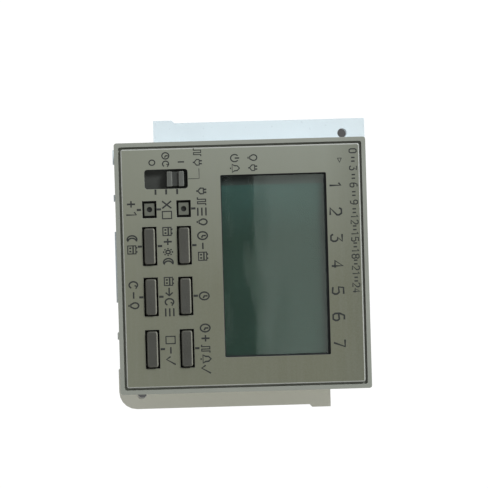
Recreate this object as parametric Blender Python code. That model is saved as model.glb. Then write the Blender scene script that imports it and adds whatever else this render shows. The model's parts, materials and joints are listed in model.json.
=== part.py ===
"""Weekly time switch with a square front, for a 35 mm rail or for two wall screws.

Metres, +Z up, the front faces -Y. The origin is the middle of the face that seats on the rail.
The case is a white base with two ears and a grey front shell. The front shell carries a metal
panel, a display and eight keys, and the base carries the power board, terminals and rail latch.
"""

import math

import bmesh
import bpy

MM = 0.001
SMOOTH_ANGLE = math.radians(35)  # edges sharper than this stay crisp on turned pieces
FEW_SIDES = 12  # of a small round stem or well

# Clearances
GAP = 0.3 * MM  # between neighbouring pieces that touch on the real object
KEY_GAP = 0.3 * MM  # round a key in its hole
STEM_GAP = 0.3 * MM  # round a plunger in its switch
THREAD_GAP = 0.15 * MM  # round a screw in its hole

# Front shell and panel
FRONT_SIDE = 72 * MM
FRONT_CORNER = 0.7 * MM
FRONT_Y = -45 * MM
RIM = 1.2 * MM
SHELL_WALL = 1.8 * MM
FRONT_WALL = 1.5 * MM
PANEL_SINK = 0.2 * MM
PANEL_THICK = 1.0 * MM
PANEL_CORNER = 0.6 * MM
PANEL_GROOVE = 0.6 * MM  # between the panel and the rim

# Display
WINDOW_WIDTH = 52.2 * MM
WINDOW_HEIGHT = 30.3 * MM
WINDOW_Z = 9.35 * MM
WINDOW_CORNER = 0.4 * MM
WINDOW_LAP = 0.8 * MM
WINDOW_THICK = 1.2 * MM
GLASS_WIDTH = 54.6 * MM
GLASS_HEIGHT = 32.4 * MM
GLASS_THICK = 2.2 * MM
GLASS_SINK = 0.3 * MM
HOLDER_WALL = 1.2 * MM
STRIP_WIDTH = 50 * MM
STRIP_THICK = 2.2 * MM
STRIP_INSET = 1.6 * MM

# Keys, in rows from the top
KEY_WIDTH = 11.1 * MM  # of the hole
KEY_HEIGHT = 4.1 * MM  # of the hole
KEY_COLUMNS = (-6.3 * MM, 8.2 * MM, 23.2 * MM)
KEY_ROWS = (-16.6 * MM, -26.5 * MM)
KEY_NAMES = (("mode_key", "hour_key", "minute_key"), ("weekday_key", "advance_key", "set_key"))
KEY_RISE = 1.2 * MM
KEY_TRAVEL = 0.5 * MM
KEY_CHAMFER = 0.6 * MM
FLANGE_LAP = 0.5 * MM
FLANGE_THICK = 0.9 * MM
BUTTON_X = -16.8 * MM
BUTTON_ROWS = (-16.5 * MM, -26.3 * MM)
BUTTON_NAMES = ("clear_button", "plus_hour_button")
BUTTON_HOLE = (4.9 * MM, 4.1 * MM)
BUTTON_FACE = (3.5 * MM, 2.9 * MM)
BUTTON_SINK = 0.9 * MM
BUTTON_DIMPLE = 0.8 * MM

# Key switches
SWITCH_SIDE = 6.0 * MM
SWITCH_TALL = 3.4 * MM
PLUNGER_RADIUS = 1.6 * MM
PLUNGER_RISE = 1.3 * MM
PLUNGER_SUNK = 0.4 * MM

# Slide switch
SLOT_X = -25.4 * MM
SLOT_Z = -21.3 * MM
SLOT_WIDTH = 5.6 * MM
SLOT_HEIGHT = 12.4 * MM
SLOT_CORNER = 0.8 * MM
KNOB_WIDTH = 4.3 * MM
KNOB_HEIGHT = 4.9 * MM
KNOB_RISE = 0.4 * MM
KNOB_TRAVEL = 5.4 * MM
RIDGE_HEIGHT = 1.5 * MM
RIDGE_STEP = 0.9 * MM
SKIRT_WIDTH = 7.2 * MM
SKIRT_HEIGHT = 18.2 * MM
SKIRT_THICK = 0.8 * MM
STEM_SIDE = 2.0 * MM
STEM_LENGTH = 2.4 * MM
SLIDER_WIDTH = 8.0 * MM
SLIDER_HEIGHT = 15.6 * MM
SLIDER_TALL = 4.5 * MM

# Boards and what they carry
BOARD_THICK = 1.6 * MM
BOARD_TOP = 27.2 * MM
CONTROL_INSET = 3.0 * MM  # of the control board's sides, inside the front shell's sides
CONTROL_BOTTOM_INSET = 3.5 * MM
POWER_INSET = 3.6 * MM
POWER_BOTTOM = -23.6 * MM
POWER_STANDOFF = 1.8 * MM

# Transformer on the power board
CORE_X = -15 * MM
CORE_Z = 15 * MM
CORE_HALF_WIDTH = 15 * MM
CORE_HALF_HEIGHT = 12.5 * MM
CORE_HALF_STACK = 5 * MM
CORE_LEG = 5 * MM  # half width of the middle leg, and width of each outer leg
CORE_WINDOW = 5 * MM
COIL_CORNER = 2 * MM

# Relay, filter capacitor and surge disc on the power board
RELAY_LEFT = 2.5 * MM
RELAY_RIGHT = 31.5 * MM
RELAY_BOTTOM = -18.4 * MM
RELAY_TOP = -5.7 * MM
RELAY_TALL = 15.7 * MM
CAPACITOR_X = 8.5 * MM
CAPACITOR_Z = 8 * MM
CAPACITOR_RADIUS = 6.25 * MM
CAPACITOR_TALL = 20 * MM
CAPACITOR_SHOULDER = 0.9 * MM
DISC_X = 22 * MM
DISC_Z = 12 * MM
DISC_RADIUS = 5 * MM
DISC_THICK = 4.5 * MM

# Processor, crystal, backup cell and ribbon on the control board
CHIP_SIDE = 14 * MM
CHIP_X = -8 * MM
CHIP_Z = 2 * MM
CHIP_TALL = 2 * MM
CRYSTAL_X = -8 * MM
CRYSTAL_Z = -12 * MM
CRYSTAL_LENGTH = 11 * MM
CRYSTAL_WIDTH = 4.6 * MM
CRYSTAL_CORNER = 2.2 * MM
CRYSTAL_TALL = 3.5 * MM
CELL_X = 17 * MM
CELL_Z = 12 * MM
CELL_RADIUS = 10 * MM
CELL_TALL = 3.2 * MM
CELL_SHOULDER = 0.8 * MM
CELL_SHOULDER_TALL = 0.5 * MM
CELL_SIDES = 24
RIBBON_X = -26 * MM
RIBBON_THICK = 0.8 * MM
RIBBON_BOTTOM = -20 * MM
RIBBON_TOP = -8 * MM

# Base
BODY_INSET = 1.2 * MM  # of the base's walls behind the front shell's sides
BODY_WALL = 1.8 * MM
SPLIT_Y = -24 * MM
TONGUE_LENGTH = 3.1 * MM
FLOOR = 2.0 * MM
BACK_Y = 5.0 * MM
PLATE_FRONT = -3.0 * MM
PLATE_OUT = 1.5 * MM  # of the back plate, beyond the front shell's ends
EAR_OUT = 6.3 * MM  # of the ears, beyond the front shell's sides
EAR_SHORT_INSET = 10.8 * MM  # of the ears' short ends, inside the front shell's ends
EAR_FLARE = 0.8 * MM
FLARE_HEIGHT = 5.5 * MM
EAR_CORNER = 5.2 * MM  # radius of the one round corner
EAR_CORNER_STEPS = 5
EAR_HOLE_OUT = 2.0 * MM  # of the ear holes, beyond the front shell's sides
EAR_HOLE_INSET = 5.2 * MM  # of the ear holes, inside the front shell's ends
EAR_HOLE_RADIUS = 1.35 * MM
UPPER_FLOOR = 3.0 * MM

# Rail channel and latch
RAIL_HEIGHT = 35 * MM
RAIL_THICK = 1.0 * MM
RAIL_SLACK = 0.3 * MM
SEAT_HALF = 15.0 * MM  # of the band of the channel's floor that the rail lies on
SEAT_RELIEF = 0.5 * MM
HOOK_BITE = 2.0 * MM
HOOK_HALF_WIDTH = 25 * MM
LATCH_HALF_WIDTH = 7.0 * MM
LATCH_FLANGE = 1.5 * MM
LATCH_FLANGE_THICK = 1.2 * MM
LATCH_BITE = 2.3 * MM
LATCH_FOOT = 0.3 * MM  # above the base plate's lower edge
LATCH_STOP = 1.4 * MM  # from the channel down to the flange's stop
LATCH_WINDOW_HALF = 2.3 * MM
LATCH_SLOT_ABOVE = 1.0 * MM  # of the tool slot, above the latch's foot
LATCH_SLOT_HEIGHT = 1.2 * MM
PEG_HEIGHT = 2.0 * MM
PEG_BOTTOM = -33.0 * MM
SPRING_LENGTH = 8.1 * MM
SPRING_RADIUS = 1.3 * MM
SPRING_WIRE = 0.25 * MM
SPRING_TURNS = 5
SPRING_STEPS = 10  # points in a turn

# Case screws, in the upper corners
SCREW_INSET = 5.0 * MM  # from the front shell's sides
BOSS_RADIUS = 3.4 * MM
CASE_SCREW_RADIUS = 1.5 * MM
CASE_SCREW_REACH = 12.0 * MM
CASE_SCREW_TIP = 1.0 * MM
HEAD_RADIUS = 2.75 * MM
HEAD_HEIGHT = 2.0 * MM
HEAD_SUNK = 0.3 * MM
HEAD_EDGE = 0.6 * MM
CROSS_LENGTH = 3.0 * MM
CROSS_WIDTH = 0.7 * MM
CROSS_DEPTH = 1.2 * MM

# Terminals, under the base
TERMINAL_CENTRES = (-26 * MM, -15 * MM, 15 * MM, 26 * MM)
POCKET_WIDTH = 9.0 * MM
POCKET_FRONT = -20.0 * MM
POCKET_ROOF = -25.8 * MM
POCKET_WALL = 1.5 * MM
TERMINAL_PLATE_THICK = 1.0 * MM
TERMINAL_SCREW_Y = -12.5 * MM
TERMINAL_TAB_Y = -7.0 * MM
TERMINAL_TAB_THICK = 0.8 * MM
TERMINAL_TAB_WIDTH = 5.0 * MM
TERMINAL_TAB_TOP = -21.5 * MM
TERMINAL_SCREW_RADIUS = 1.75 * MM
TERMINAL_HEAD_RADIUS = 3.4 * MM
TERMINAL_HEAD_HEIGHT = 2.4 * MM
TERMINAL_HEAD_EDGE = 0.7 * MM
TERMINAL_SHANK = 6.2 * MM
TERMINAL_TIP = 0.6 * MM
TERMINAL_SLOT_LENGTH = 4.0 * MM
TERMINAL_SLOT_WIDTH = 0.9 * MM
TERMINAL_SLOT_DEPTH = 1.4 * MM
WASHER_PLAY = 0.7 * MM  # on each side of a washer in its pocket
WASHER_CORNER = 0.8 * MM
WASHER_THICK = 1.0 * MM

# Planes that follow, from the front to the back
FRONT_HALF = FRONT_SIDE / 2
CONTROL_HALF_WIDTH = FRONT_HALF - CONTROL_INSET
CONTROL_BOTTOM = CONTROL_BOTTOM_INSET - FRONT_HALF
POWER_HALF_WIDTH = FRONT_HALF - POWER_INSET
PLATE_HALF_HEIGHT = FRONT_HALF + PLATE_OUT
EAR_REACH = FRONT_HALF + EAR_OUT
EAR_SHORT_END = FRONT_HALF - EAR_SHORT_INSET
EAR_HOLE_X = FRONT_HALF + EAR_HOLE_OUT
EAR_HOLE_Z = FRONT_HALF - EAR_HOLE_INSET
SCREW_X = FRONT_HALF - SCREW_INSET
SCREW_Z = FRONT_HALF - SCREW_INSET
SHELL_INNER = FRONT_HALF - SHELL_WALL
RECESS_HALF = FRONT_HALF - RIM
PANEL_HALF = RECESS_HALF - PANEL_GROOVE
PANEL_FRONT = FRONT_Y + PANEL_SINK
PANEL_BACK = PANEL_FRONT + PANEL_THICK
WALL_FRONT = PANEL_BACK + GAP
WALL_BACK = WALL_FRONT + FRONT_WALL
BEHIND_WALL = WALL_BACK + GAP
FLANGE_BACK = BEHIND_WALL + FLANGE_THICK
PLUNGER_TIP = FLANGE_BACK + GAP
SWITCH_FRONT = PLUNGER_TIP + PLUNGER_RISE
SWITCH_BACK = SWITCH_FRONT + SWITCH_TALL
CONTROL_FRONT = SWITCH_BACK + GAP
CONTROL_BACK = CONTROL_FRONT + BOARD_THICK
POWER_BACK = -FLOOR - POWER_STANDOFF
POWER_FRONT = POWER_BACK - BOARD_THICK
BODY_HALF = FRONT_HALF - BODY_INSET
BODY_INNER = BODY_HALF - BODY_WALL
TONGUE_OUTER = SHELL_INNER - GAP
CHANNEL_HALF = RAIL_HEIGHT / 2 + RAIL_SLACK
HOOK_FRONT = RAIL_THICK + RAIL_SLACK
WASHER_SIDE = POCKET_WIDTH - 2 * WASHER_PLAY
PLATE_TOP = POCKET_ROOF - GAP
PLATE_BOTTOM = PLATE_TOP - TERMINAL_PLATE_THICK
WASHER_TOP = PLATE_BOTTOM - GAP
WASHER_BOTTOM = WASHER_TOP - WASHER_THICK
HEAD_TOP = WASHER_BOTTOM - GAP

PLACES = {
    "X": lambda a, b, along: (along, a, b),
    "Y": lambda a, b, along: (a, along, b),
    "Z": lambda a, b, along: (a, b, along),
}


# ---------------------------------------------------------------- shapes


def rectangle(width, height, radius=0.0, steps=3, centre=(0.0, 0.0)):
    """Outline of a rectangle, with round corners where a radius is given."""
    half_width, half_height = width / 2 - radius, height / 2 - radius
    if not radius:
        steps = 0
    points = []
    for quarter, (side_a, side_b) in enumerate(((1, 1), (-1, 1), (-1, -1), (1, -1))):
        for step in range(steps + 1):
            angle = (quarter + (step / steps if steps else 0.5)) * math.pi / 2
            a = centre[0] + side_a * half_width + radius * math.cos(angle)
            b = centre[1] + side_b * half_height + radius * math.sin(angle)
            points.append((a, b))
    return points


def circle(radius, sides=16, centre=(0.0, 0.0)):
    """Outline of a circle, with a flat towards each axis."""
    angles = [(side + 0.5) * math.tau / sides for side in range(sides)]
    return [(centre[0] + radius * math.cos(t), centre[1] + radius * math.sin(t)) for t in angles]


def hole(radius, sides=16, centre=(0.0, 0.0)):
    """Outline of a round hole whose flats keep the whole radius clear."""
    return circle(radius / math.cos(math.pi / sides), sides, centre)


def add_prism(mesh, outline, axis, low, high):
    """Adds an outline extruded along an axis from one height to another."""
    place = PLACES[axis]
    face = mesh.faces.new([mesh.verts.new(place(a, b, low)) for a, b in outline])
    grown = bmesh.ops.extrude_face_region(mesh, geom=[face])["geom"]
    far_end = [item for item in grown if isinstance(item, bmesh.types.BMVert)]
    bmesh.ops.translate(mesh, verts=far_end, vec=place(0.0, 0.0, high - low))
    bmesh.ops.recalc_face_normals(mesh, faces=mesh.faces)


def prism(outline, axis, low, high):
    mesh = bmesh.new()
    add_prism(mesh, outline, axis, low, high)
    return mesh


def block(low, high):
    """A box from its lower to its upper corner."""
    return blocks([(low, high)])


def blocks(corners):
    """Several boxes that don't touch, in one mesh."""
    mesh = bmesh.new()
    for low, high in corners:
        outline = [(low[0], low[1]), (high[0], low[1]), (high[0], high[1]), (low[0], high[1])]
        add_prism(mesh, outline, "Z", low[2], high[2])
    return mesh


def turned(profile, axis, sides=16):
    """A solid turned round an axis from (radius, height) points that start and end at radius 0."""
    mesh = bmesh.new()
    place = PLACES[axis]
    rings = []
    for radius, height in profile:
        if radius == 0:
            rings.append([mesh.verts.new(place(0.0, 0.0, height))] * sides)
        else:
            rings.append([mesh.verts.new(place(a, b, height)) for a, b in circle(radius, sides)])
    for lower, upper in zip(rings, rings[1:]):
        for side in range(sides):
            after = (side + 1) % sides
            corners = [lower[side], lower[after], upper[after], upper[side]]
            mesh.faces.new(list(dict.fromkeys(corners)))
    bmesh.ops.recalc_face_normals(mesh, faces=mesh.faces)
    return mesh


# ---------------------------------------------------------------- objects


def material(name, colour, roughness, metallic=0.0):
    made = bpy.data.materials.new(name)
    made.use_nodes = True
    made.diffuse_color = (*colour, 1.0)
    shader = made.node_tree.nodes["Principled BSDF"]
    shader.inputs["Base Color"].default_value = (*colour, 1.0)
    shader.inputs["Roughness"].default_value = roughness
    shader.inputs["Metallic"].default_value = metallic
    return made


def new_object(name, mesh, at):
    data = bpy.data.meshes.new(name)
    mesh.to_mesh(data)
    mesh.free()
    made = bpy.data.objects.new(name, data)
    made.location = at
    bpy.context.scene.collection.objects.link(made)
    return made


def piece(name, look, mesh, at=(0.0, 0.0, 0.0), smooth=False):
    """One sub-part, with its own material, placed by its location."""
    made = new_object(name, mesh, at)
    made.data.materials.append(material(name, *look))
    if smooth:
        made.data.shade_smooth()
        made.data.set_sharp_from_angle(angle=SMOOTH_ANGLE)
    return made


def combine(target, operation, mesh):
    """Adds a mesh to a piece, or cuts it away, in the piece's own coordinates."""
    helper = new_object(f"{target.name}_tool_{len(target.modifiers)}", mesh, target.location)
    helper.hide_render = True
    helper.display_type = "WIRE"
    modifier = target.modifiers.new(operation.title(), "BOOLEAN")
    modifier.operation = operation
    modifier.object = helper
    modifier.solver = "EXACT"


def cut(target, mesh):
    combine(target, "DIFFERENCE", mesh)


def join(target, mesh):
    combine(target, "UNION", mesh)


# Colour, roughness and, on metal, the metallic value
WHITE_PLASTIC = ((0.72, 0.80, 0.82), 0.45)
GREY_PLASTIC = ((0.21, 0.22, 0.18), 0.42)
PANEL_METAL = ((0.26, 0.27, 0.22), 0.38, 0.6)
KEY_RUBBER = ((0.08, 0.08, 0.07), 0.6)
KNOB_PLASTIC = ((0.14, 0.14, 0.13), 0.5)
CLEAR_PLASTIC = ((0.5, 0.55, 0.5), 0.1)
LCD_GREEN = ((0.07, 0.115, 0.085), 0.2)
BLACK_PLASTIC = ((0.02, 0.02, 0.02), 0.5)
SILICONE = ((0.25, 0.25, 0.26), 0.7)
BOARD_GREEN = ((0.03, 0.14, 0.06), 0.45)
RELAY_BLUE = ((0.02, 0.09, 0.25), 0.35)
LAMINATIONS = ((0.18, 0.17, 0.16), 0.45, 0.7)
COIL_TAPE = ((0.55, 0.40, 0.08), 0.5)
SLEEVE_BLACK = ((0.02, 0.02, 0.03), 0.4)
DISC_BLUE = ((0.02, 0.10, 0.30), 0.4)
STEEL = ((0.56, 0.56, 0.55), 0.3, 1.0)
BRASS = ((0.62, 0.46, 0.18), 0.3, 1.0)
RIBBON_GREY = ((0.35, 0.35, 0.36), 0.5)


# ---------------------------------------------------------------- front


def key_places():
    """Name, X and Z of each of the six keys."""
    for row, names in zip(KEY_ROWS, KEY_NAMES):
        for column, name in zip(KEY_COLUMNS, names):
            yield name, column, row


def button_places():
    """Name, X and Z of the two sunk buttons."""
    for row, name in zip(BUTTON_ROWS, BUTTON_NAMES):
        yield name, BUTTON_X, row


def front_openings(margin, low, high):
    """The openings for keys, buttons and knob, each larger by a margin on every side."""
    mesh = bmesh.new()
    for _, x, z in key_places():
        outline = rectangle(KEY_WIDTH + 2 * margin, KEY_HEIGHT + 2 * margin, centre=(x, z))
        add_prism(mesh, outline, "Y", low, high)
    for _, x, z in button_places():
        outline = rectangle(BUTTON_HOLE[0] + 2 * margin, BUTTON_HOLE[1] + 2 * margin, centre=(x, z))
        add_prism(mesh, outline, "Y", low, high)
    slot = rectangle(
        SLOT_WIDTH + 2 * margin, SLOT_HEIGHT + 2 * margin, SLOT_CORNER, centre=(SLOT_X, SLOT_Z)
    )
    add_prism(mesh, slot, "Y", low, high)
    return mesh


def make_front_case():
    """A square shell, open behind, with a sunk front wall that carries the panel."""
    side = FRONT_SIDE
    shell = prism(rectangle(side, side, FRONT_CORNER), "Y", FRONT_Y, SPLIT_Y - GAP / 2)
    case = piece("front_case", GREY_PLASTIC, shell)
    cut(case, prism(rectangle(2 * RECESS_HALF, 2 * RECESS_HALF, PANEL_CORNER), "Y",
                    FRONT_Y - MM, WALL_FRONT))
    cut(case, prism(rectangle(2 * SHELL_INNER, 2 * SHELL_INNER), "Y", WALL_BACK, 0.0))
    pane = 2 * (WINDOW_LAP + GAP)
    window = rectangle(WINDOW_WIDTH + pane, WINDOW_HEIGHT + pane, WINDOW_CORNER,
                       centre=(0.0, WINDOW_Z))
    cut(case, prism(window, "Y", WALL_FRONT - MM, WALL_BACK + MM))
    cut(case, front_openings(0.0, WALL_FRONT - MM, WALL_BACK + MM))
    for x in (-SCREW_X, SCREW_X):
        boss = circle(BOSS_RADIUS, centre=(x, SCREW_Z))
        join(case, prism(boss, "Y", WALL_BACK - MM / 2, SPLIT_Y - GAP / 2))
    for x in (-SCREW_X, SCREW_X):
        bore = hole(CASE_SCREW_RADIUS + THREAD_GAP, centre=(x, SCREW_Z))
        cut(case, prism(bore, "Y", SPLIT_Y - CASE_SCREW_REACH - MM, SPLIT_Y + MM))
    return case


def make_front_panel():
    """The printed metal plate in the shell's sunk front."""
    outline = rectangle(2 * PANEL_HALF, 2 * PANEL_HALF, PANEL_CORNER)
    panel = piece("front_panel", PANEL_METAL, prism(outline, "Y", PANEL_FRONT, PANEL_BACK))
    window = rectangle(WINDOW_WIDTH, WINDOW_HEIGHT, WINDOW_CORNER, centre=(0.0, WINDOW_Z))
    cut(panel, prism(window, "Y", PANEL_FRONT - MM, PANEL_BACK + MM))
    cut(panel, front_openings(0.0, PANEL_FRONT - MM, PANEL_BACK + MM))
    return panel


def make_display():
    """Clear window, display cell, the frame that holds it, and its two contact strips."""
    centre = (0.0, WINDOW_Z)
    lap = 2 * WINDOW_LAP
    pane = rectangle(WINDOW_WIDTH + lap, WINDOW_HEIGHT + lap, WINDOW_CORNER, centre=centre)
    piece("lcd_window", CLEAR_PLASTIC, prism(pane, "Y", WALL_FRONT, WALL_FRONT + WINDOW_THICK))

    glass_front = BEHIND_WALL + GLASS_SINK
    glass_back = glass_front + GLASS_THICK
    cell = rectangle(GLASS_WIDTH, GLASS_HEIGHT, centre=centre)
    piece("lcd_glass", LCD_GREEN, prism(cell, "Y", glass_front, glass_back))

    pocket = (GLASS_WIDTH + 2 * GAP, GLASS_HEIGHT + 2 * GAP)
    outer = rectangle(pocket[0] + 2 * HOLDER_WALL, pocket[1] + 2 * HOLDER_WALL, centre=centre)
    holder = piece("lcd_holder", BLACK_PLASTIC, prism(outer, "Y", BEHIND_WALL, SWITCH_BACK))
    seat = glass_back + GAP
    cut(holder, prism(rectangle(*pocket, centre=centre), "Y", BEHIND_WALL - MM, seat))
    strip_z = GLASS_HEIGHT / 2 - STRIP_INSET - STRIP_THICK / 2
    middle = 2 * strip_z - STRIP_THICK - 2 * GAP - 2 * HOLDER_WALL
    through = prism(rectangle(STRIP_WIDTH, middle, centre=centre), "Y", seat - MM, CONTROL_BACK)
    for side in (-1, 1):
        slot = rectangle(STRIP_WIDTH + 2 * GAP, STRIP_THICK + 2 * GAP,
                         centre=(0.0, WINDOW_Z + side * strip_z))
        add_prism(through, slot, "Y", seat - MM, CONTROL_BACK)
    cut(holder, through)
    for side, place in ((-1, "lower"), (1, "upper")):
        strip = rectangle(STRIP_WIDTH, STRIP_THICK, centre=(0.0, WINDOW_Z + side * strip_z))
        piece(f"contact_strip_{place}", SILICONE, prism(strip, "Y", seat, SWITCH_BACK))


# ---------------------------------------------------------------- keys


def make_key(name, x, z):
    """A key cap with a chamfered face and a flange that keeps it behind the front wall."""
    width, height = KEY_WIDTH - 2 * KEY_GAP, KEY_HEIGHT - 2 * KEY_GAP
    face = PANEL_FRONT - KEY_RISE
    cap = prism(rectangle(width, height), "Y", face, FLANGE_BACK)
    front_edges = [edge for edge in cap.edges if all(v.co.y < face + MM / 10 for v in edge.verts)]
    bmesh.ops.bevel(cap, geom=front_edges, offset=KEY_CHAMFER, segments=1, affect="EDGES",
                    profile=0.5)
    key = piece(name, KEY_RUBBER, cap, at=(x, 0.0, z))
    lap = 2 * FLANGE_LAP
    flange = rectangle(KEY_WIDTH + lap, KEY_HEIGHT + lap)
    join(key, prism(flange, "Y", BEHIND_WALL, FLANGE_BACK))
    return key


def make_button(name, x, z):
    """A sunk button for a pen tip, with a dimple in front and a stem into its switch."""
    face = PANEL_FRONT + BUTTON_SINK
    button = piece(name, KEY_RUBBER, prism(rectangle(*BUTTON_FACE), "Y", face, FLANGE_BACK),
                   at=(x, 0.0, z))
    flange = rectangle(BUTTON_HOLE[0] + FLANGE_LAP, BUTTON_HOLE[1] + FLANGE_LAP)
    join(button, prism(flange, "Y", BEHIND_WALL, FLANGE_BACK))
    stem_end = SWITCH_FRONT + PLUNGER_SUNK
    join(button, prism(circle(PLUNGER_RADIUS), "Y", FLANGE_BACK - MM / 10, stem_end))
    cut(button, prism(circle(BUTTON_DIMPLE, FEW_SIDES), "Y", face - MM, face + BUTTON_DIMPLE))
    return button


def make_key_switch(name, x, z):
    """A push switch on the control board: a square body with a round well for its plunger."""
    body = prism(rectangle(SWITCH_SIDE, SWITCH_SIDE), "Y", SWITCH_FRONT, SWITCH_BACK)
    switch = piece(f"{name}_switch", BLACK_PLASTIC, body, at=(x, 0.0, z))
    well = hole(PLUNGER_RADIUS + STEM_GAP, FEW_SIDES)
    depth = PLUNGER_SUNK + KEY_TRAVEL + GAP
    cut(switch, prism(well, "Y", SWITCH_FRONT - MM, SWITCH_FRONT + depth))


def make_plunger(name, x, z):
    stem = prism(circle(PLUNGER_RADIUS, FEW_SIDES), "Y", PLUNGER_TIP, SWITCH_FRONT + PLUNGER_SUNK)
    piece(f"{name}_plunger", SILICONE, stem, at=(x, 0.0, z), smooth=True)


def make_keys():
    for name, x, z in key_places():
        make_key(name, x, z)
        make_plunger(name, x, z)
        make_key_switch(name, x, z)
    for name, x, z in button_places():
        make_button(name, x, z)
        make_key_switch(name, x, z)


def make_slide_switch():
    """The knob at the top of its slot, its skirt behind the wall, and the switch it moves."""
    knob_z = SLOT_Z + KNOB_TRAVEL / 2
    face = PANEL_FRONT - KNOB_RISE
    middle_y = BEHIND_WALL + SKIRT_THICK / 2
    cap = prism(rectangle(KNOB_WIDTH, KNOB_HEIGHT), "Y", face + RIDGE_STEP, middle_y)
    knob = piece("slide_knob", KNOB_PLASTIC, cap, at=(SLOT_X, 0.0, knob_z))
    ridges = bmesh.new()
    for side in (-1, 1):
        middle = side * (KNOB_HEIGHT - RIDGE_HEIGHT) / 2
        add_prism(ridges, rectangle(KNOB_WIDTH, RIDGE_HEIGHT, centre=(0.0, middle)), "Y",
                  face, face + RIDGE_STEP + MM / 10)
    join(knob, ridges)
    skirt = rectangle(SKIRT_WIDTH, SKIRT_HEIGHT)
    join(knob, prism(skirt, "Y", BEHIND_WALL, BEHIND_WALL + SKIRT_THICK))
    slider_front = SWITCH_BACK - SLIDER_TALL
    stem = rectangle(STEM_SIDE, STEM_SIDE)
    stem_end = slider_front + STEM_LENGTH
    join(knob, prism(stem, "Y", middle_y, stem_end))

    body = prism(rectangle(SLIDER_WIDTH, SLIDER_HEIGHT), "Y", slider_front, SWITCH_BACK)
    switch = piece("slide_switch", STEEL, body, at=(SLOT_X, 0.0, SLOT_Z))
    track = rectangle(STEM_SIDE + 2 * STEM_GAP, KNOB_TRAVEL + STEM_SIDE + 2 * STEM_GAP)
    cut(switch, prism(track, "Y", slider_front - MM, stem_end + GAP))


# ---------------------------------------------------------------- boards


def board(name, half_width, bottom, front):
    low, high = (-half_width, front, bottom), (half_width, front + BOARD_THICK, BOARD_TOP)
    piece(name, BOARD_GREEN, block(low, high))


def on_power_board(height):
    """Near and far Y of a component that stands this high on the power board."""
    return POWER_FRONT - GAP - height, POWER_FRONT - GAP


def make_transformer():
    """A laminated core with two windows, and a coil round its middle leg."""
    window_half_height = CORE_HALF_HEIGHT - CORE_LEG
    coil_thick = CORE_WINDOW - 2 * GAP
    coil_half = CORE_LEG + GAP + coil_thick
    place = (CORE_X, on_power_board(2 * coil_half)[0] + coil_half, CORE_Z)
    near, far = -CORE_HALF_STACK, CORE_HALF_STACK
    outline = rectangle(2 * CORE_HALF_WIDTH, 2 * CORE_HALF_HEIGHT)
    core = piece("transformer_core", LAMINATIONS, prism(outline, "Y", near, far), at=place)
    windows = bmesh.new()
    for side in (-1, 1):
        centre = (side * (CORE_LEG + CORE_WINDOW / 2), 0.0)
        outline = rectangle(CORE_WINDOW, 2 * window_half_height, centre=centre)
        add_prism(windows, outline, "Y", near - MM, far + MM)
    cut(core, windows)
    coil_half_height = window_half_height - GAP
    outline = rectangle(2 * coil_half, 2 * coil_half, COIL_CORNER)
    winding = prism(outline, "Z", -coil_half_height, coil_half_height)
    coil = piece("transformer_coil", COIL_TAPE, winding, at=place)
    inner = 2 * (CORE_LEG + GAP)
    cut(coil, prism(rectangle(inner, inner), "Z", -CORE_HALF_HEIGHT, CORE_HALF_HEIGHT))


def make_power_board():
    """The board in the base, with its relay, transformer, capacitor and surge disc."""
    board("power_board", POWER_HALF_WIDTH, POWER_BOTTOM, POWER_FRONT)
    near, far = on_power_board(RELAY_TALL)
    case = block((RELAY_LEFT, near, RELAY_BOTTOM), (RELAY_RIGHT, far, RELAY_TOP))
    piece("relay", RELAY_BLUE, case)
    near, far = on_power_board(CAPACITOR_TALL)
    can = [
        (0.0, near),
        (CAPACITOR_RADIUS - CAPACITOR_SHOULDER, near),
        (CAPACITOR_RADIUS, near + CAPACITOR_SHOULDER),
        (CAPACITOR_RADIUS, far),
        (0.0, far),
    ]
    piece("filter_capacitor", SLEEVE_BLACK, turned(can, "Y"), at=(CAPACITOR_X, 0.0, CAPACITOR_Z),
          smooth=True)
    disc_y = on_power_board(2 * DISC_RADIUS)[0] + DISC_RADIUS
    disc = prism(circle(DISC_RADIUS), "X", -DISC_THICK / 2, DISC_THICK / 2)
    piece("surge_varistor", DISC_BLUE, disc, at=(DISC_X, disc_y, DISC_Z), smooth=True)
    make_transformer()


def make_control_board():
    """The board in the front shell, with its processor, crystal and backup cell behind it."""
    board("control_board", CONTROL_HALF_WIDTH, CONTROL_BOTTOM, CONTROL_FRONT)
    near = CONTROL_BACK + GAP
    chip = prism(rectangle(CHIP_SIDE, CHIP_SIDE), "Y", near, near + CHIP_TALL)
    piece("microcontroller", BLACK_PLASTIC, chip, at=(CHIP_X, 0.0, CHIP_Z))
    can = rectangle(CRYSTAL_LENGTH, CRYSTAL_WIDTH, CRYSTAL_CORNER)
    piece("crystal", STEEL, prism(can, "Y", near, near + CRYSTAL_TALL),
          at=(CRYSTAL_X, 0.0, CRYSTAL_Z))
    far = near + CELL_TALL
    cell = [
        (0.0, near),
        (CELL_RADIUS - CELL_SHOULDER, near),
        (CELL_RADIUS, near + CELL_SHOULDER_TALL),
        (CELL_RADIUS, far),
        (0.0, far),
    ]
    piece("backup_cell", STEEL, turned(cell, "Y", CELL_SIDES), at=(CELL_X, 0.0, CELL_Z), smooth=True)
    low = (RIBBON_X - RIBBON_THICK / 2, near, RIBBON_BOTTOM)
    high = (RIBBON_X + RIBBON_THICK / 2, POWER_FRONT - GAP, RIBBON_TOP)
    piece("board_ribbon", RIBBON_GREY, block(low, high))


# ---------------------------------------------------------------- base


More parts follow.
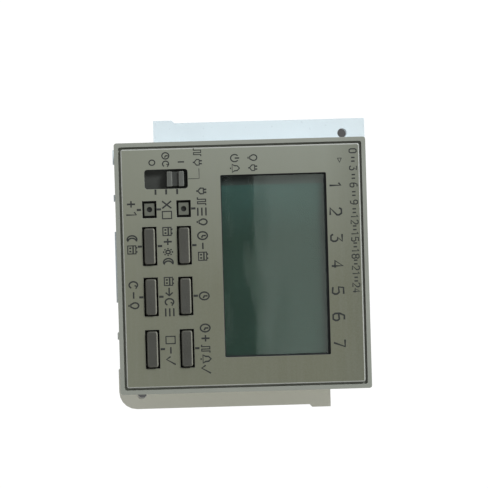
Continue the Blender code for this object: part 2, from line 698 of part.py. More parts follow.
def ear_outline(side):
    """One ear, seen from the front: a flared short end and, on the right ear, a round corner."""
    inner = side * (BODY_HALF - MM)
    reach, flared = side * EAR_REACH, side * (EAR_REACH + EAR_FLARE)
    far = -side * PLATE_HALF_HEIGHT
    short = side * EAR_SHORT_END
    points = [(inner, short), (flared, short), (flared, short - side * FLARE_HEIGHT),
              (reach, short - side * (FLARE_HEIGHT + EAR_FLARE))]
    if side > 0:
        for step in range(EAR_CORNER_STEPS + 1):
            angle = step / EAR_CORNER_STEPS * math.pi / 2
            points.append((reach - EAR_CORNER * (1 - math.cos(angle)),
                           far + EAR_CORNER * (1 - math.sin(angle))))
    else:
        points += [(reach, far)]
    return points + [(inner, far)]


def make_base_shell():
    """The base's back plate with its ears, the box in front of it and the tongue at its edge."""
    plate = prism(rectangle(2 * BODY_HALF, 2 * PLATE_HALF_HEIGHT), "Y", PLATE_FRONT, BACK_Y)
    base = piece("base_case", WHITE_PLASTIC, plate)
    for side in (-1, 1):
        join(base, prism(ear_outline(side), "Y", PLATE_FRONT, BACK_Y))
    rim_y = SPLIT_Y + GAP / 2
    join(base, prism(rectangle(2 * BODY_HALF, 2 * BODY_HALF), "Y", rim_y, PLATE_FRONT + MM))
    join(base, prism(rectangle(2 * TONGUE_OUTER, 2 * TONGUE_OUTER), "Y",
                     rim_y - TONGUE_LENGTH, rim_y + MM))
    cut(base, prism(rectangle(2 * BODY_INNER, 2 * BODY_INNER), "Y",
                    rim_y - TONGUE_LENGTH - MM, -FLOOR))
    corners = []
    tongue_end = rim_y - TONGUE_LENGTH - MM
    room = BOSS_RADIUS + 2 * GAP
    for side in (-1, 1):
        inside, outside = side * (SCREW_X - room), side * FRONT_HALF
        corners.append(((min(inside, outside), tongue_end, SCREW_Z - room),
                        (max(inside, outside), rim_y, FRONT_HALF)))
    cut(base, blocks(corners))
    upper = (-BODY_INNER, -FLOOR - MM, CHANNEL_HALF + FLOOR)
    cut(base, block(upper, (BODY_INNER, BACK_Y - UPPER_FLOOR, BODY_INNER)))
    return base


def add_screw_bosses(base):
    for x in (-SCREW_X, SCREW_X):
        centre = (x, SCREW_Z)
        join(base, prism(circle(BOSS_RADIUS, centre=centre), "Y", SPLIT_Y + GAP / 2, BACK_Y - MM))
    for x in (-SCREW_X, SCREW_X):
        centre = (x, SCREW_Z)
        bore = hole(CASE_SCREW_RADIUS + THREAD_GAP, centre=centre)
        cut(base, prism(bore, "Y", SPLIT_Y - MM, BACK_Y + MM))
        sink = BACK_Y - HEAD_SUNK - HEAD_HEIGHT - GAP
        cut(base, prism(hole(HEAD_RADIUS + GAP, centre=centre), "Y", sink, BACK_Y + MM))


def add_rail_channel(base):
    """The channel that the rail lies in, with a fixed hook along its upper edge."""
    wide = 2 * (EAR_REACH + EAR_FLARE + MM)
    channel = rectangle(wide, 2 * CHANNEL_HALF)
    cut(base, prism(channel, "Y", 0.0, BACK_Y + MM))
    relief_height = CHANNEL_HALF - SEAT_HALF
    for side in (-1, 1):
        middle = side * (SEAT_HALF + relief_height / 2)
        relief = rectangle(wide, relief_height, centre=(0.0, middle))
        cut(base, prism(relief, "Y", -SEAT_RELIEF, MM))
    hook = [(HOOK_FRONT, CHANNEL_HALF - HOOK_BITE), (BACK_Y, CHANNEL_HALF - HOOK_BITE / 2),
            (BACK_Y, CHANNEL_HALF + MM), (HOOK_FRONT, CHANNEL_HALF + MM)]
    join(base, prism(hook, "X", -HOOK_HALF_WIDTH, HOOK_HALF_WIDTH))


def latch_planes():
    """Y of the latch's front face, of its flange's back and of its back."""
    front = HOOK_FRONT
    return front, front + LATCH_FLANGE_THICK, BACK_Y - GAP


def add_latch_track(base):
    """A T-shaped track for the latch, open at the bottom, with a peg for the spring."""
    front, flange_back, _ = latch_planes()
    half = LATCH_HALF_WIDTH + GAP
    wide = half + LATCH_FLANGE
    floor_y = front - GAP
    bottom = -PLATE_HALF_HEIGHT - MM
    cut(base, block((-half, floor_y, bottom), (half, BACK_Y + MM, -CHANNEL_HALF + MM)))
    stop = -CHANNEL_HALF - LATCH_STOP
    cut(base, block((-wide, floor_y, bottom), (wide, flange_back + GAP, stop)))
    peg_half = LATCH_WINDOW_HALF - GAP
    peg_top = PEG_BOTTOM + PEG_HEIGHT
    join(base, block((-peg_half, floor_y - MM, PEG_BOTTOM), (peg_half, BACK_Y - 2 * GAP, peg_top)))


def add_terminal_pods(base):
    """Two walled pods under the boards, with an open pocket for each terminal."""
    half = POCKET_WIDTH / 2
    wall_top = POCKET_ROOF + POCKET_WALL
    for left, right in ((0, 1), (2, 3)):
        low = TERMINAL_CENTRES[left] - half - POCKET_WALL
        high = TERMINAL_CENTRES[right] + half + POCKET_WALL
        near = (low, POCKET_FRONT - POCKET_WALL, -BODY_HALF + MM / 2)
        join(base, block(near, (high, -FLOOR + MM, wall_top)))
    pockets, slots, wells = [], [], bmesh.new()
    for x in TERMINAL_CENTRES:
        pockets.append(((x - half, POCKET_FRONT, -PLATE_HALF_HEIGHT - MM),
                        (x + half, BACK_Y + MM, POCKET_ROOF)))
        tab_half = TERMINAL_TAB_WIDTH / 2 + GAP
        slots.append(((x - tab_half, TERMINAL_TAB_Y - GAP, POCKET_ROOF - MM),
                      (x + tab_half, TERMINAL_TAB_Y + TERMINAL_TAB_THICK + GAP, wall_top + MM)))
        well = hole(TERMINAL_SCREW_RADIUS + STEM_GAP, centre=(x, TERMINAL_SCREW_Y))
        add_prism(wells, well, "Z", POCKET_ROOF - MM, wall_top + MM)
    cut(base, blocks(pockets))
    cut(base, blocks(slots))
    cut(base, wells)


def make_base_case():
    base = make_base_shell()
    add_screw_bosses(base)
    add_rail_channel(base)
    add_terminal_pods(base)
    add_latch_track(base)
    holes = bmesh.new()
    for side in (-1, 1):
        centre = (side * EAR_HOLE_X, -side * EAR_HOLE_Z)
        add_prism(holes, hole(EAR_HOLE_RADIUS, centre=centre), "Y", PLATE_FRONT - MM, BACK_Y + MM)
    cut(base, holes)


def make_case_screws():
    for x, place in ((-SCREW_X, "left"), (SCREW_X, "right")):
        head_back = BACK_Y - HEAD_SUNK
        head_front = head_back - HEAD_HEIGHT
        tip = SPLIT_Y - CASE_SCREW_REACH
        profile = [
            (0.0, tip),
            (CASE_SCREW_RADIUS - HEAD_EDGE, tip),
            (CASE_SCREW_RADIUS, tip + CASE_SCREW_TIP),
            (CASE_SCREW_RADIUS, head_front),
            (HEAD_RADIUS, head_front),
            (HEAD_RADIUS, head_back - HEAD_EDGE),
            (HEAD_RADIUS - HEAD_EDGE, head_back),
            (0.0, head_back),
        ]
        screw = piece(f"case_screw_{place}", STEEL, turned(profile, "Y"), at=(x, 0.0, SCREW_Z),
                      smooth=True)
        for width, height in ((CROSS_LENGTH, CROSS_WIDTH), (CROSS_WIDTH, CROSS_LENGTH)):
            slot = rectangle(width, height)
            cut(screw, prism(slot, "Y", head_back - CROSS_DEPTH, head_back + MM))


# ---------------------------------------------------------------- latch and terminals


def make_latch():
    """The sliding foot: a hook behind the rail's lower edge, flanges, and a window for the spring."""
    front, flange_back, back = latch_planes()
    half = LATCH_HALF_WIDTH
    foot = -PLATE_HALF_HEIGHT + LATCH_FOOT
    hook_top = -CHANNEL_HALF + RAIL_SLACK + LATCH_BITE
    slide = [(front, foot), (back, foot), (back, hook_top - LATCH_BITE), (front, hook_top)]
    latch = piece("rail_latch", WHITE_PLASTIC, prism(slide, "X", -half, half))
    wide = half + LATCH_FLANGE
    flange_top = -CHANNEL_HALF - LATCH_STOP - GAP
    join(latch, block((-wide, front, foot), (wide, flange_back, flange_top)))
    window_low = PEG_BOTTOM - GAP
    window_high = PEG_BOTTOM + PEG_HEIGHT + SPRING_LENGTH + 2 * GAP
    slot_low = foot + LATCH_SLOT_ABOVE
    slot_high = slot_low + LATCH_SLOT_HEIGHT
    openings = blocks([
        ((-LATCH_WINDOW_HALF, front - MM, low), (LATCH_WINDOW_HALF, back + MM, high))
        for low, high in ((window_low, window_high), (slot_low, slot_high))
    ])
    cut(latch, openings)


def make_latch_spring():
    """A compression spring between the base's peg and the top of the latch's window."""
    bottom = PEG_BOTTOM + PEG_HEIGHT + GAP
    front, _, back = latch_planes()
    curve = bpy.data.curves.new("latch_spring", "CURVE")
    curve.dimensions = "3D"
    curve.bevel_depth = SPRING_WIRE
    curve.bevel_resolution = 1
    curve.use_fill_caps = True
    steps = SPRING_TURNS * SPRING_STEPS
    spline = curve.splines.new("POLY")
    spline.points.add(steps)
    rise = SPRING_LENGTH - 2 * SPRING_WIRE
    for step, point in enumerate(spline.points):
        angle = math.tau * step / SPRING_STEPS
        height = SPRING_WIRE + rise * step / steps
        point.co = (SPRING_RADIUS * math.cos(angle), SPRING_RADIUS * math.sin(angle), height, 1.0)
    curve.materials.append(material("latch_spring", *STEEL))
    spring = bpy.data.objects.new("latch_spring", curve)
    spring.location = (0.0, (front + back) / 2, bottom)
    bpy.context.scene.collection.objects.link(spring)


def make_terminal(number, x):
    """A brass plate with a tab to the power board, a square clamp washer and its screw."""
    half = POCKET_WIDTH / 2 - GAP
    plate_back = TERMINAL_TAB_Y + TERMINAL_TAB_THICK
    plate = piece(f"terminal_plate_{number}", BRASS,
                  block((-half, POCKET_FRONT + GAP - TERMINAL_SCREW_Y, PLATE_BOTTOM),
                        (half, plate_back - TERMINAL_SCREW_Y, PLATE_TOP)),
                  at=(x, TERMINAL_SCREW_Y, 0.0))
    tab = TERMINAL_TAB_WIDTH / 2
    join(plate, block((-tab, TERMINAL_TAB_Y - TERMINAL_SCREW_Y, PLATE_TOP - MM / 10),
                      (tab, plate_back - TERMINAL_SCREW_Y, TERMINAL_TAB_TOP)))
    bore = hole(TERMINAL_SCREW_RADIUS + THREAD_GAP)
    cut(plate, prism(bore, "Z", PLATE_BOTTOM - MM, PLATE_TOP + MM))

    square = rectangle(WASHER_SIDE, WASHER_SIDE, WASHER_CORNER, 2)
    washer = piece(f"clamp_washer_{number}", STEEL, prism(square, "Z", WASHER_BOTTOM, WASHER_TOP),
                   at=(x, TERMINAL_SCREW_Y, 0.0))
    cut(washer, prism(bore, "Z", WASHER_BOTTOM - MM, WASHER_TOP + MM))

    head_bottom = HEAD_TOP - TERMINAL_HEAD_HEIGHT
    tip = HEAD_TOP + TERMINAL_SHANK
    radius = TERMINAL_SCREW_RADIUS
    profile = [
        (0.0, head_bottom),
        (TERMINAL_HEAD_RADIUS - TERMINAL_HEAD_EDGE, head_bottom),
        (TERMINAL_HEAD_RADIUS, head_bottom + TERMINAL_HEAD_EDGE),
        (TERMINAL_HEAD_RADIUS, HEAD_TOP),
        (radius, HEAD_TOP),
        (radius, tip - TERMINAL_TIP),
        (radius - TERMINAL_TIP, tip),
        (0.0, tip),
    ]
    screw = piece(f"terminal_screw_{number}", STEEL, turned(profile, "Z"),
                  at=(x, TERMINAL_SCREW_Y, 0.0), smooth=True)
    depth = head_bottom + TERMINAL_SLOT_DEPTH
    long, short = TERMINAL_SLOT_LENGTH, TERMINAL_SLOT_WIDTH
    for width, height in ((long, short), (short, long)):
        cut(screw, prism(rectangle(width, height), "Z", head_bottom - MM, depth))


def main():
    for old in list(bpy.data.objects):
        bpy.data.objects.remove(old, do_unlink=True)
    make_front_case()
    make_front_panel()
    make_display()
    make_keys()
    make_slide_switch()
    make_control_board()
    make_power_board()
    make_base_case()
    make_case_screws()
    make_latch()
    make_latch_spring()
    for number, x in enumerate(TERMINAL_CENTRES, 1):
        make_terminal(number, x)


main()
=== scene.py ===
# %% [markdown]
# # A weekly time switch, finished around its CAD frame
# The object is a square timer for a control cabinet. It has a grey front shell with a printed metal
# panel, a display under a clear window, six long keys, two sunk buttons and a slide switch. Behind it
# is a white moulded base with two ears, a rail channel and four terminals.
#
# The CAD model already has every piece at its true size. This script loads it as a fixed frame and
# gives each piece its real edges, its small details and its finish. Nothing moves: each new piece is
# made where its CAD piece lies and rides on the same body.

# %% Load the frame
import json
import math

import bmesh
import bpy
from mathutils import Matrix, Vector

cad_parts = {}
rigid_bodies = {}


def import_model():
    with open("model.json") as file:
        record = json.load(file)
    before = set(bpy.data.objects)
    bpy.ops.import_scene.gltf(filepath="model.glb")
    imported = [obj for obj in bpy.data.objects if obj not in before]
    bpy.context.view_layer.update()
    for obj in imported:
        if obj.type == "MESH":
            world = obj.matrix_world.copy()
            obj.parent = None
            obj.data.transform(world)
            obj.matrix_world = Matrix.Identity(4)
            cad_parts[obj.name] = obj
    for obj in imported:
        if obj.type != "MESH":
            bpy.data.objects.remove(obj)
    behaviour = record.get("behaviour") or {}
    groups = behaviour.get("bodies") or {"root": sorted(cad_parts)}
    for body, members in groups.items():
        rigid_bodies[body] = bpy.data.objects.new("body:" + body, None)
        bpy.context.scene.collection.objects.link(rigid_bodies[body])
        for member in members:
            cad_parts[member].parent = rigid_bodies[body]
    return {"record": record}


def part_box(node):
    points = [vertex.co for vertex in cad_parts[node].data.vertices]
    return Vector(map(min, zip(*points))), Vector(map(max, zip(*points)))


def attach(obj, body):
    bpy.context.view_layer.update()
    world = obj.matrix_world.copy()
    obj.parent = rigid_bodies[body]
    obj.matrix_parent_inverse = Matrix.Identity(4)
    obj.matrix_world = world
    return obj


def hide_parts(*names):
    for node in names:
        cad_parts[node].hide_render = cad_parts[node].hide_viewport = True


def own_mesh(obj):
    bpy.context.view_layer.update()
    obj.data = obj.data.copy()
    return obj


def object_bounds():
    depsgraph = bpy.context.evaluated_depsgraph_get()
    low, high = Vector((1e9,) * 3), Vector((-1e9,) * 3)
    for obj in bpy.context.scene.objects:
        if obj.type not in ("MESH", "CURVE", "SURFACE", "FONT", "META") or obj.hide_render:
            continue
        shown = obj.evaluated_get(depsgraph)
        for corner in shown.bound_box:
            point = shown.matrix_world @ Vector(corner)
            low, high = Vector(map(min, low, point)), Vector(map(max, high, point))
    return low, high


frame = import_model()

MM = 0.001
cad_low, cad_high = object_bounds()
BODY_OF = {
    node: body
    for body, nodes in frame["record"]["behaviour"]["bodies"].items()
    for node in nodes
}
print("CAD box in mm:", [round(v / MM, 1) for v in cad_high - cad_low])

# %% [markdown]
# ## Camera
# The object is seen almost straight from the front, from about a metre away, and lying on its side:
# its top points to the right. A camera looks along its own -Z axis with +Y up, so the turn is written
# as its three axes: right, up and back. A long lens at a metre gives the weak perspective, and there
# is no lens shift and no blur.

# %% Camera
RIGHT = (0.02851, -0.00770, 0.99956)
UP = (-0.99956, 0.00848, 0.02858)
BACK = (-0.00870, -0.99993, -0.00746)
CAMERA_AT = Vector((-15.8, -1141.9, -7.7)) * MM

camera_data = bpy.data.cameras.new("camera")
camera_data.lens = 282.9
camera_data.sensor_width = 36.0
camera_data.clip_start = 0.05
camera = bpy.data.objects.new("camera", camera_data)
camera.matrix_world = Matrix.Translation(CAMERA_AT) @ Matrix((RIGHT, UP, BACK)).transposed().to_4x4()
bpy.context.scene.collection.objects.link(camera)
bpy.context.scene.camera = camera
bpy.context.scene.view_settings.view_transform = "Standard"
print("camera", round((CAMERA_AT.y - cad_low.y) / MM), "mm in front of the panel")

# %% [markdown]
# ## Node helper
# Every finish here is a small node tree. One helper adds a shader node, sets its options and fills
# its inputs: a plain value is set on the socket, and another node's output is linked to it.


# %% Node helper
def node(tree, kind, inputs=None, **options):
    made = tree.nodes.new("ShaderNode" + kind)
    for name, value in options.items():
        setattr(made, name, value)
    for name, value in (inputs or {}).items():
        if isinstance(value, bpy.types.NodeSocket):
            tree.links.new(value, made.inputs[name])
        else:
            made.inputs[name].default_value = value
    return made


# %% [markdown]
# ## Studio
# The object lies on its back on a white table, so the table is a plane just behind it. The table is
# lit so brightly that it shows pure white. It is a light source only for the camera and only from its
# front side. To every other ray it is clear, so a view from behind sees the object's back, and no
# light is lost. Behind the two ear holes the glow is painted dim in a small disc, a painted shadow, so
# the holes look dark. The sky is an even pale grey, with a dark patch straight behind the camera. The
# window mirrors that patch, as it would mirror a dim room.

# %% Table and sky
TABLE_GAP = 0.3 * MM
TABLE_HALF = 1.2
TABLE_GLOW, SHADED_GLOW = 1.05, 0.10
EAR_HOLE_X, EAR_HOLE_Z = 38.0 * MM, 30.8 * MM
HOLE_SHADE = 1.8 * MM
AMBIENT, BEHIND_CAMERA, SEEN_SKY = 0.56, 0.05, 0.9
PATCH_FROM, PATCH_TO = -0.93, -0.88  # Y of the direction where the dark patch ends and the sky begins

table_mesh = bmesh.new()
bmesh.ops.create_grid(table_mesh, x_segments=1, y_segments=1, size=TABLE_HALF)
bmesh.ops.rotate(table_mesh, verts=table_mesh.verts, cent=(0, 0, 0),
                 matrix=Matrix.Rotation(math.pi / 2, 3, "X"))
bmesh.ops.translate(table_mesh, verts=table_mesh.verts, vec=(0, cad_high.y + TABLE_GAP, 0))
table_data = bpy.data.meshes.new("table")
table_mesh.to_mesh(table_data)
table_mesh.free()
table = bpy.data.objects.new("table", table_data)
bpy.context.scene.collection.objects.link(table)

table_finish = bpy.data.materials.new("table_white")
table_finish.use_nodes = True
tree = table_finish.node_tree
tree.nodes.clear()
path = node(tree, "LightPath")
side = node(tree, "NewGeometry")
front = node(tree, "Math", {0: 1.0, 1: side.outputs["Backfacing"]}, operation="SUBTRACT")
shown = node(tree, "Math", {0: path.outputs["Is Camera Ray"], 1: front.outputs[0]}, operation="MULTIPLY")
place = node(tree, "TexCoord").outputs["Object"]
# Behind each ear hole the glow is painted dim in a small disc, a painted shadow.
strength = TABLE_GLOW
for end in (1, -1):
    spot = (end * EAR_HOLE_X, cad_high.y + TABLE_GAP, -end * EAR_HOLE_Z)
    away = node(tree, "VectorMath", {0: place, 1: spot}, operation="DISTANCE").outputs["Value"]
    clear_of = node(tree, "Math", {0: away, 1: HOLE_SHADE}, operation="GREATER_THAN").outputs[0]
    strength = node(tree, "MapRange", {"Value": clear_of, "To Min": SHADED_GLOW,
                                      "To Max": strength}).outputs[0]
glow = node(tree, "Emission", {"Color": (1.0, 1.0, 1.0, 1.0), "Strength": strength})
clear = node(tree, "BsdfTransparent")
mixed = node(tree, "MixShader", {0: shown.outputs[0], 1: clear.outputs[0], 2: glow.outputs[0]})
node(tree, "OutputMaterial", {"Surface": mixed.outputs[0]})
table_data.materials.append(table_finish)

world = bpy.data.worlds.new("studio")
bpy.context.scene.world = world
world.use_nodes = True
tree = world.node_tree
tree.nodes.clear()
path = node(tree, "LightPath")
facing = node(tree, "SeparateXYZ", {0: node(tree, "TexCoord").outputs["Generated"]})
patch = node(tree, "MapRange", {"Value": facing.outputs["Y"], "From Min": PATCH_FROM,
                                "From Max": PATCH_TO, "To Min": BEHIND_CAMERA, "To Max": AMBIENT})
strength = node(tree, "Mix", {0: path.outputs["Is Camera Ray"], 2: patch.outputs[0], 3: SEEN_SKY})
sky = node(tree, "Background", {"Color": (0.97, 0.985, 1.0, 1.0), "Strength": strength.outputs[0]})
node(tree, "OutputWorld", {"Surface": sky.outputs[0]})
print("table at Y", round((cad_high.y + TABLE_GAP) / MM, 1), "mm")

# %% [markdown]
# ## Lights
# A large cool light stands to the object's left and a little above it. It makes the left ear bright
# and leaves the right ear in the shade of the case. The white plastic also carries a painted cool tone
# and a painted warm shade on its right side, and the upper edges of the keys catch the light, helped
# by a painted highlight. A second soft light hangs behind the camera. The window mirrors it, and its
# straight lower edge is the line across the display between the misty and the dark part.


# %% Lights
def area_light(name, at, towards, size, power, colour):
    data = bpy.data.lights.new(name, "AREA")
    data.shape = "RECTANGLE"
    data.size, data.size_y = size
    data.energy = power
    data.color = colour
    light = bpy.data.objects.new(name, data)
    turn = (Vector(towards) - Vector(at)).to_track_quat("-Z", "Z")
    light.matrix_world = Matrix.Translation(Vector(at)) @ turn.to_matrix().to_4x4()
    bpy.context.scene.collection.objects.link(light)
    print(name, "at", [round(v, 2) for v in at])


KEY_LIGHT_AT, KEY_LIGHT, KEY_POWER = (-0.60, -0.92, 0.62), (0.32, 0.32), 11.2
COOL_WHITE, GREENISH_WHITE = (0.91, 0.965, 1.0), (0.90, 1.0, 0.92)
area_light("key_light", KEY_LIGHT_AT, (0, -0.02, 0), KEY_LIGHT, KEY_POWER, COOL_WHITE)

SOFTBOX_X, SOFTBOX_Y, SOFTBOX_EDGE_Z = 0.05, -1.69, 0.021
SOFTBOX, SOFTBOX_POWER = (0.7, 0.5), 0.95
softbox_z = SOFTBOX_EDGE_Z + SOFTBOX[1] / 2
area_light("softbox", (SOFTBOX_X, SOFTBOX_Y, softbox_z), (SOFTBOX_X, 0.0, softbox_z), SOFTBOX,
           SOFTBOX_POWER, GREENISH_WHITE)

# %% [markdown]
# ## Moulded plastic
# The shell and the base are moulded ABS. A real moulding is never one flat colour: its surface is
# spark-eroded to a fine grain, the colour clouds a little, it has small dark specks, and handling
# polishes its edges. Noise on the object's own coordinates gives all of these, so the pattern stays
# on the plastic. The edge strips carry an attribute called edge, which the finish reads to make them
# lighter, partly as that polish and partly as a painted highlight. Some finishes also take painted
# shade in recesses, a painted highlight on edges that face up and a painted warm shade on one side.


# %% Finishes for plastic and rubber
def new_finish(name):
    made = bpy.data.materials.new(name)
    made.use_nodes = True
    made.node_tree.nodes.clear()
    return made, made.node_tree


def shade(tree, **sockets):
    """A Principled shader and its output. Names are given with _ for a space."""
    shader = node(tree, "BsdfPrincipled", {k.replace("_", " "): v for k, v in sockets.items()})
    node(tree, "OutputMaterial", {"Surface": shader.outputs[0]})


def object_point(tree):
    return node(tree, "TexCoord").outputs["Object"]


def coordinate(tree, point, axis):
    return node(tree, "SeparateXYZ", {0: point}).outputs[axis]


def edge_strips(tree):
    """1 on the round edges of a piece and 0 elsewhere."""
    return node(tree, "Attribute", attribute_name="edge").outputs["Fac"]


def noise(tree, point, scale, detail=3.0):
    return node(tree, "TexNoise", {"Vector": point, "Scale": scale, "Detail": detail}).outputs["Fac"]


def drawn_noise(tree, point, scale, detail, turn=(0.0, 0.0, 0.0)):
    """Noise stretched along one direction, as wiping, rolling or drawing leaves it."""
    placed = node(tree, "Mapping", {"Vector": point, "Rotation": turn, "Scale": scale}).outputs[0]
    return noise(tree, placed, 1.0, detail)


def remap(tree, value, low, high, to_low, to_high):
    made = node(tree, "MapRange", {"Value": value, "From Min": low, "From Max": high,
                                   "To Min": to_low, "To Max": to_high})
    return made.outputs[0]


def blend_colour(tree, factor, first, second):
    made = node(tree, "Mix", {0: factor}, data_type="RGBA")
    for socket, value in ((made.inputs[6], first), (made.inputs[7], second)):
        if isinstance(value, bpy.types.NodeSocket):
            tree.links.new(value, socket)
        else:
            socket.default_value = (*value, 1.0)
    return made.outputs[2]


def bump(tree, height, distance, strength=1.0):
    return node(tree, "Bump", {"Height": height, "Distance": distance, "Strength": strength}).outputs[0]


def scaled(colour, factor):
    return tuple(min(1.0, channel * factor) for channel in colour)


WARM_SHADE_X = 36.0 * MM  # where the painted warm shade is full


def plastic(name, colour, roughness, grain=0.02, cloud=0.06, edge=1.12, specks=0.3, deep=None,
            gap=0.12, top_edge_highlight=0.0, warm_shade=None):
    """A moulded finish. With deep it darkens between two depths Y, to the share called gap: painted
    shade in recesses. A factor for up-facing edges paints them paler than the others by that much: a
    painted highlight from the light above. A colour for the right side makes that side fade to it: a
    painted warm shade."""
    made, tree = new_finish(name)
    point = object_point(tree)
    clouds = noise(tree, point, 55.0, 4.0)
    base = blend_colour(tree, remap(tree, clouds, 0.3, 0.7, 0, 1), scaled(colour, 1 - cloud),
                        scaled(colour, 1 + cloud))
    # The right side is painted a warmer tone, a painted warm shade.
    if warm_shade:
        right = remap(tree, coordinate(tree, point, "X"), 0.0, WARM_SHADE_X, 0, 1)
        base = blend_colour(tree, right, base, warm_shade)
    speck = remap(tree, noise(tree, point, 900.0, 2.0), 0.70, 0.76, 0, specks)
    base = blend_colour(tree, speck, base, scaled(colour, 0.45))
    # The edge strips are painted lighter, partly as polish from handling and partly as a painted
    # highlight.
    edge_band = edge_strips(tree)
    patchy = remap(tree, noise(tree, point, 160.0, 3.0), 0.35, 0.6, 0.45, 1)
    rubbed_and_highlit = node(tree, "Math", {0: edge_band, 1: patchy}, operation="MULTIPLY").outputs[0]
    base = blend_colour(tree, rubbed_and_highlit, base, scaled(colour, edge))
    # Edges that face up are painted paler, a painted highlight from the light above.
    if top_edge_highlight:
        upward = coordinate(tree, node(tree, "TexCoord").outputs["Normal"], "Z")
        top = node(tree, "Math", {0: edge_band, 1: remap(tree, upward, 0.2, 0.6, 0, 1)}, operation="MULTIPLY")
        base = blend_colour(tree, top.outputs[0], base, scaled(colour, top_edge_highlight))
    # Deeper parts are painted darker, a painted shade in recesses.
    if deep:
        depth = coordinate(tree, point, "Y")
        base = blend_colour(tree, remap(tree, depth, deep[0], deep[1], 0, 1), base, scaled(colour, gap))
    gloss = remap(tree, noise(tree, point, 240.0, 3.0), 0.3, 0.7, roughness - 0.06, roughness + 0.06)
    skin = noise(tree, point, 2600.0, 2.0)
    shade(tree, Base_Color=base, Roughness=gloss, Normal=bump(tree, skin, grain * MM), IOR=1.5)
    return made


# The base colour is painted bluish, the tone of the cool light, and the right side fades to a painted
# warm shade.
WHITE = plastic("white_moulding", (0.70, 0.76, 0.78), 0.42, cloud=0.03, edge=1.08, specks=0.15,
                warm_shade=(0.77, 0.76, 0.66))
GREY = plastic("grey_moulding", (0.27, 0.275, 0.235), 0.46, cloud=0.05, edge=1.25)
BLACK = plastic("black_moulding", (0.022, 0.022, 0.023), 0.5, cloud=0.15, edge=1.8, specks=0.0)
print("plastics:", WHITE.name, GREY.name, BLACK.name)

# %% [markdown]
# ## From a CAD piece to a real one
# CAD corners are perfectly sharp, and nothing moulded or stamped is. A sharp corner catches no light,
# so it looks like a drawing. A copy of the CAD piece is made instead, its loose triangles are merged
# into whole faces, and every sharp edge gets a small round. A modifier could bevel it live, but a
# bevel in the mesh also tells which faces are the new edge strips, and those get the edge attribute.


# %% Softened copies of CAD pieces
SHARP = math.radians(28)
FLAT_WEIGHT = 80


def copy_of(name):
    """The CAD piece as a bmesh of whole flat faces."""
    mesh = bmesh.new()
    mesh.from_mesh(bpy.data.objects[name].data)
    bmesh.ops.remove_doubles(mesh, verts=mesh.verts, dist=0.002 * MM)
    bmesh.ops.dissolve_limit(mesh, angle_limit=math.radians(1.0), verts=mesh.verts, edges=mesh.edges,
                             delimit=set())
    return mesh


def sharp_edges(mesh):
    return [e for e in mesh.edges if len(e.link_faces) == 2 and e.calc_face_angle() > SHARP]


def round_edges(mesh, edges, radius, segments=2):
    """Bevels the edges and marks the new faces as edge strips."""
    strip = mesh.faces.layers.float.get("edge") or mesh.faces.layers.float.new("edge")
    made = bmesh.ops.bevel(mesh, geom=edges, offset=radius, offset_type="OFFSET", segments=segments,
                           profile=0.5, affect="EDGES", clamp_overlap=True, material=-1)
    for face in made["faces"]:
        face[strip] = 1.0
    return made["faces"]


def finish_piece(name, mesh, body, finish, slot, *nodes, smooth=35):
    """Makes the object, lets it ride on its body and stand for its CAD pieces."""
    data = bpy.data.meshes.new(name)
    mesh.to_mesh(data)
    mesh.free()
    data.materials.append(finish)
    if smooth:
        data.shade_smooth()
        data.set_sharp_from_angle(angle=math.radians(smooth))
    piece = bpy.data.objects.new(name, data)
    bpy.context.scene.collection.objects.link(piece)
    if smooth:
        flat = piece.modifiers.new("flat faces stay flat", "WEIGHTED_NORMAL")
        flat.keep_sharp = True
        flat.weight = FLAT_WEIGHT
    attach(piece, body)
    if nodes:
        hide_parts(*nodes)
    return piece


def softened(cad, finish, slot, radius, segments=2, extra=None, smooth=35):
    """A copy of one CAD piece with round edges. The function extra adds what the edges don't need."""
    mesh = copy_of(cad)
    edges = sharp_edges(mesh)
    round_edges(mesh, edges, radius * MM, segments)
    if extra:
        extra(mesh)
    faces = len(mesh.faces)
    piece = finish_piece(cad + "_finished", mesh, BODY_OF[cad], finish, slot, cad, smooth=smooth)
    print(piece.name, len(edges), "edges rounded,", faces, "faces")


softened("base_case", WHITE, "white_plastic", 0.3)
softened("front_case", GREY, "grey_plastic", 0.25, segments=3)
softened("rail_latch", WHITE, "white_plastic", 0.2)

# %% [markdown]
# ## The front panel
# The panel is a thin metal plate, painted a satin grey-green and screen printed. Its punched outer
# edge is rounded, and the openings have crisp edges; the edge strips of both are painted much lighter,
# a painted highlight. The paint carries a fine orange-peel skin and faint streaks from wiping. Its
# tone is painted lighter towards the left, a painted light from the key light's side, lighter towards
# the bottom and darker towards the top.

# %% Painted panel
PAINT = (0.164, 0.164, 0.112)
PAINT_LIT_LEFT = (0.276, 0.284, 0.232)
PAINT_LOW = (0.240, 0.240, 0.176)
PAINT_HIGH = (0.128, 0.130, 0.092)
PAINT_EDGE_HIGHLIGHT = (0.46, 0.46, 0.42)


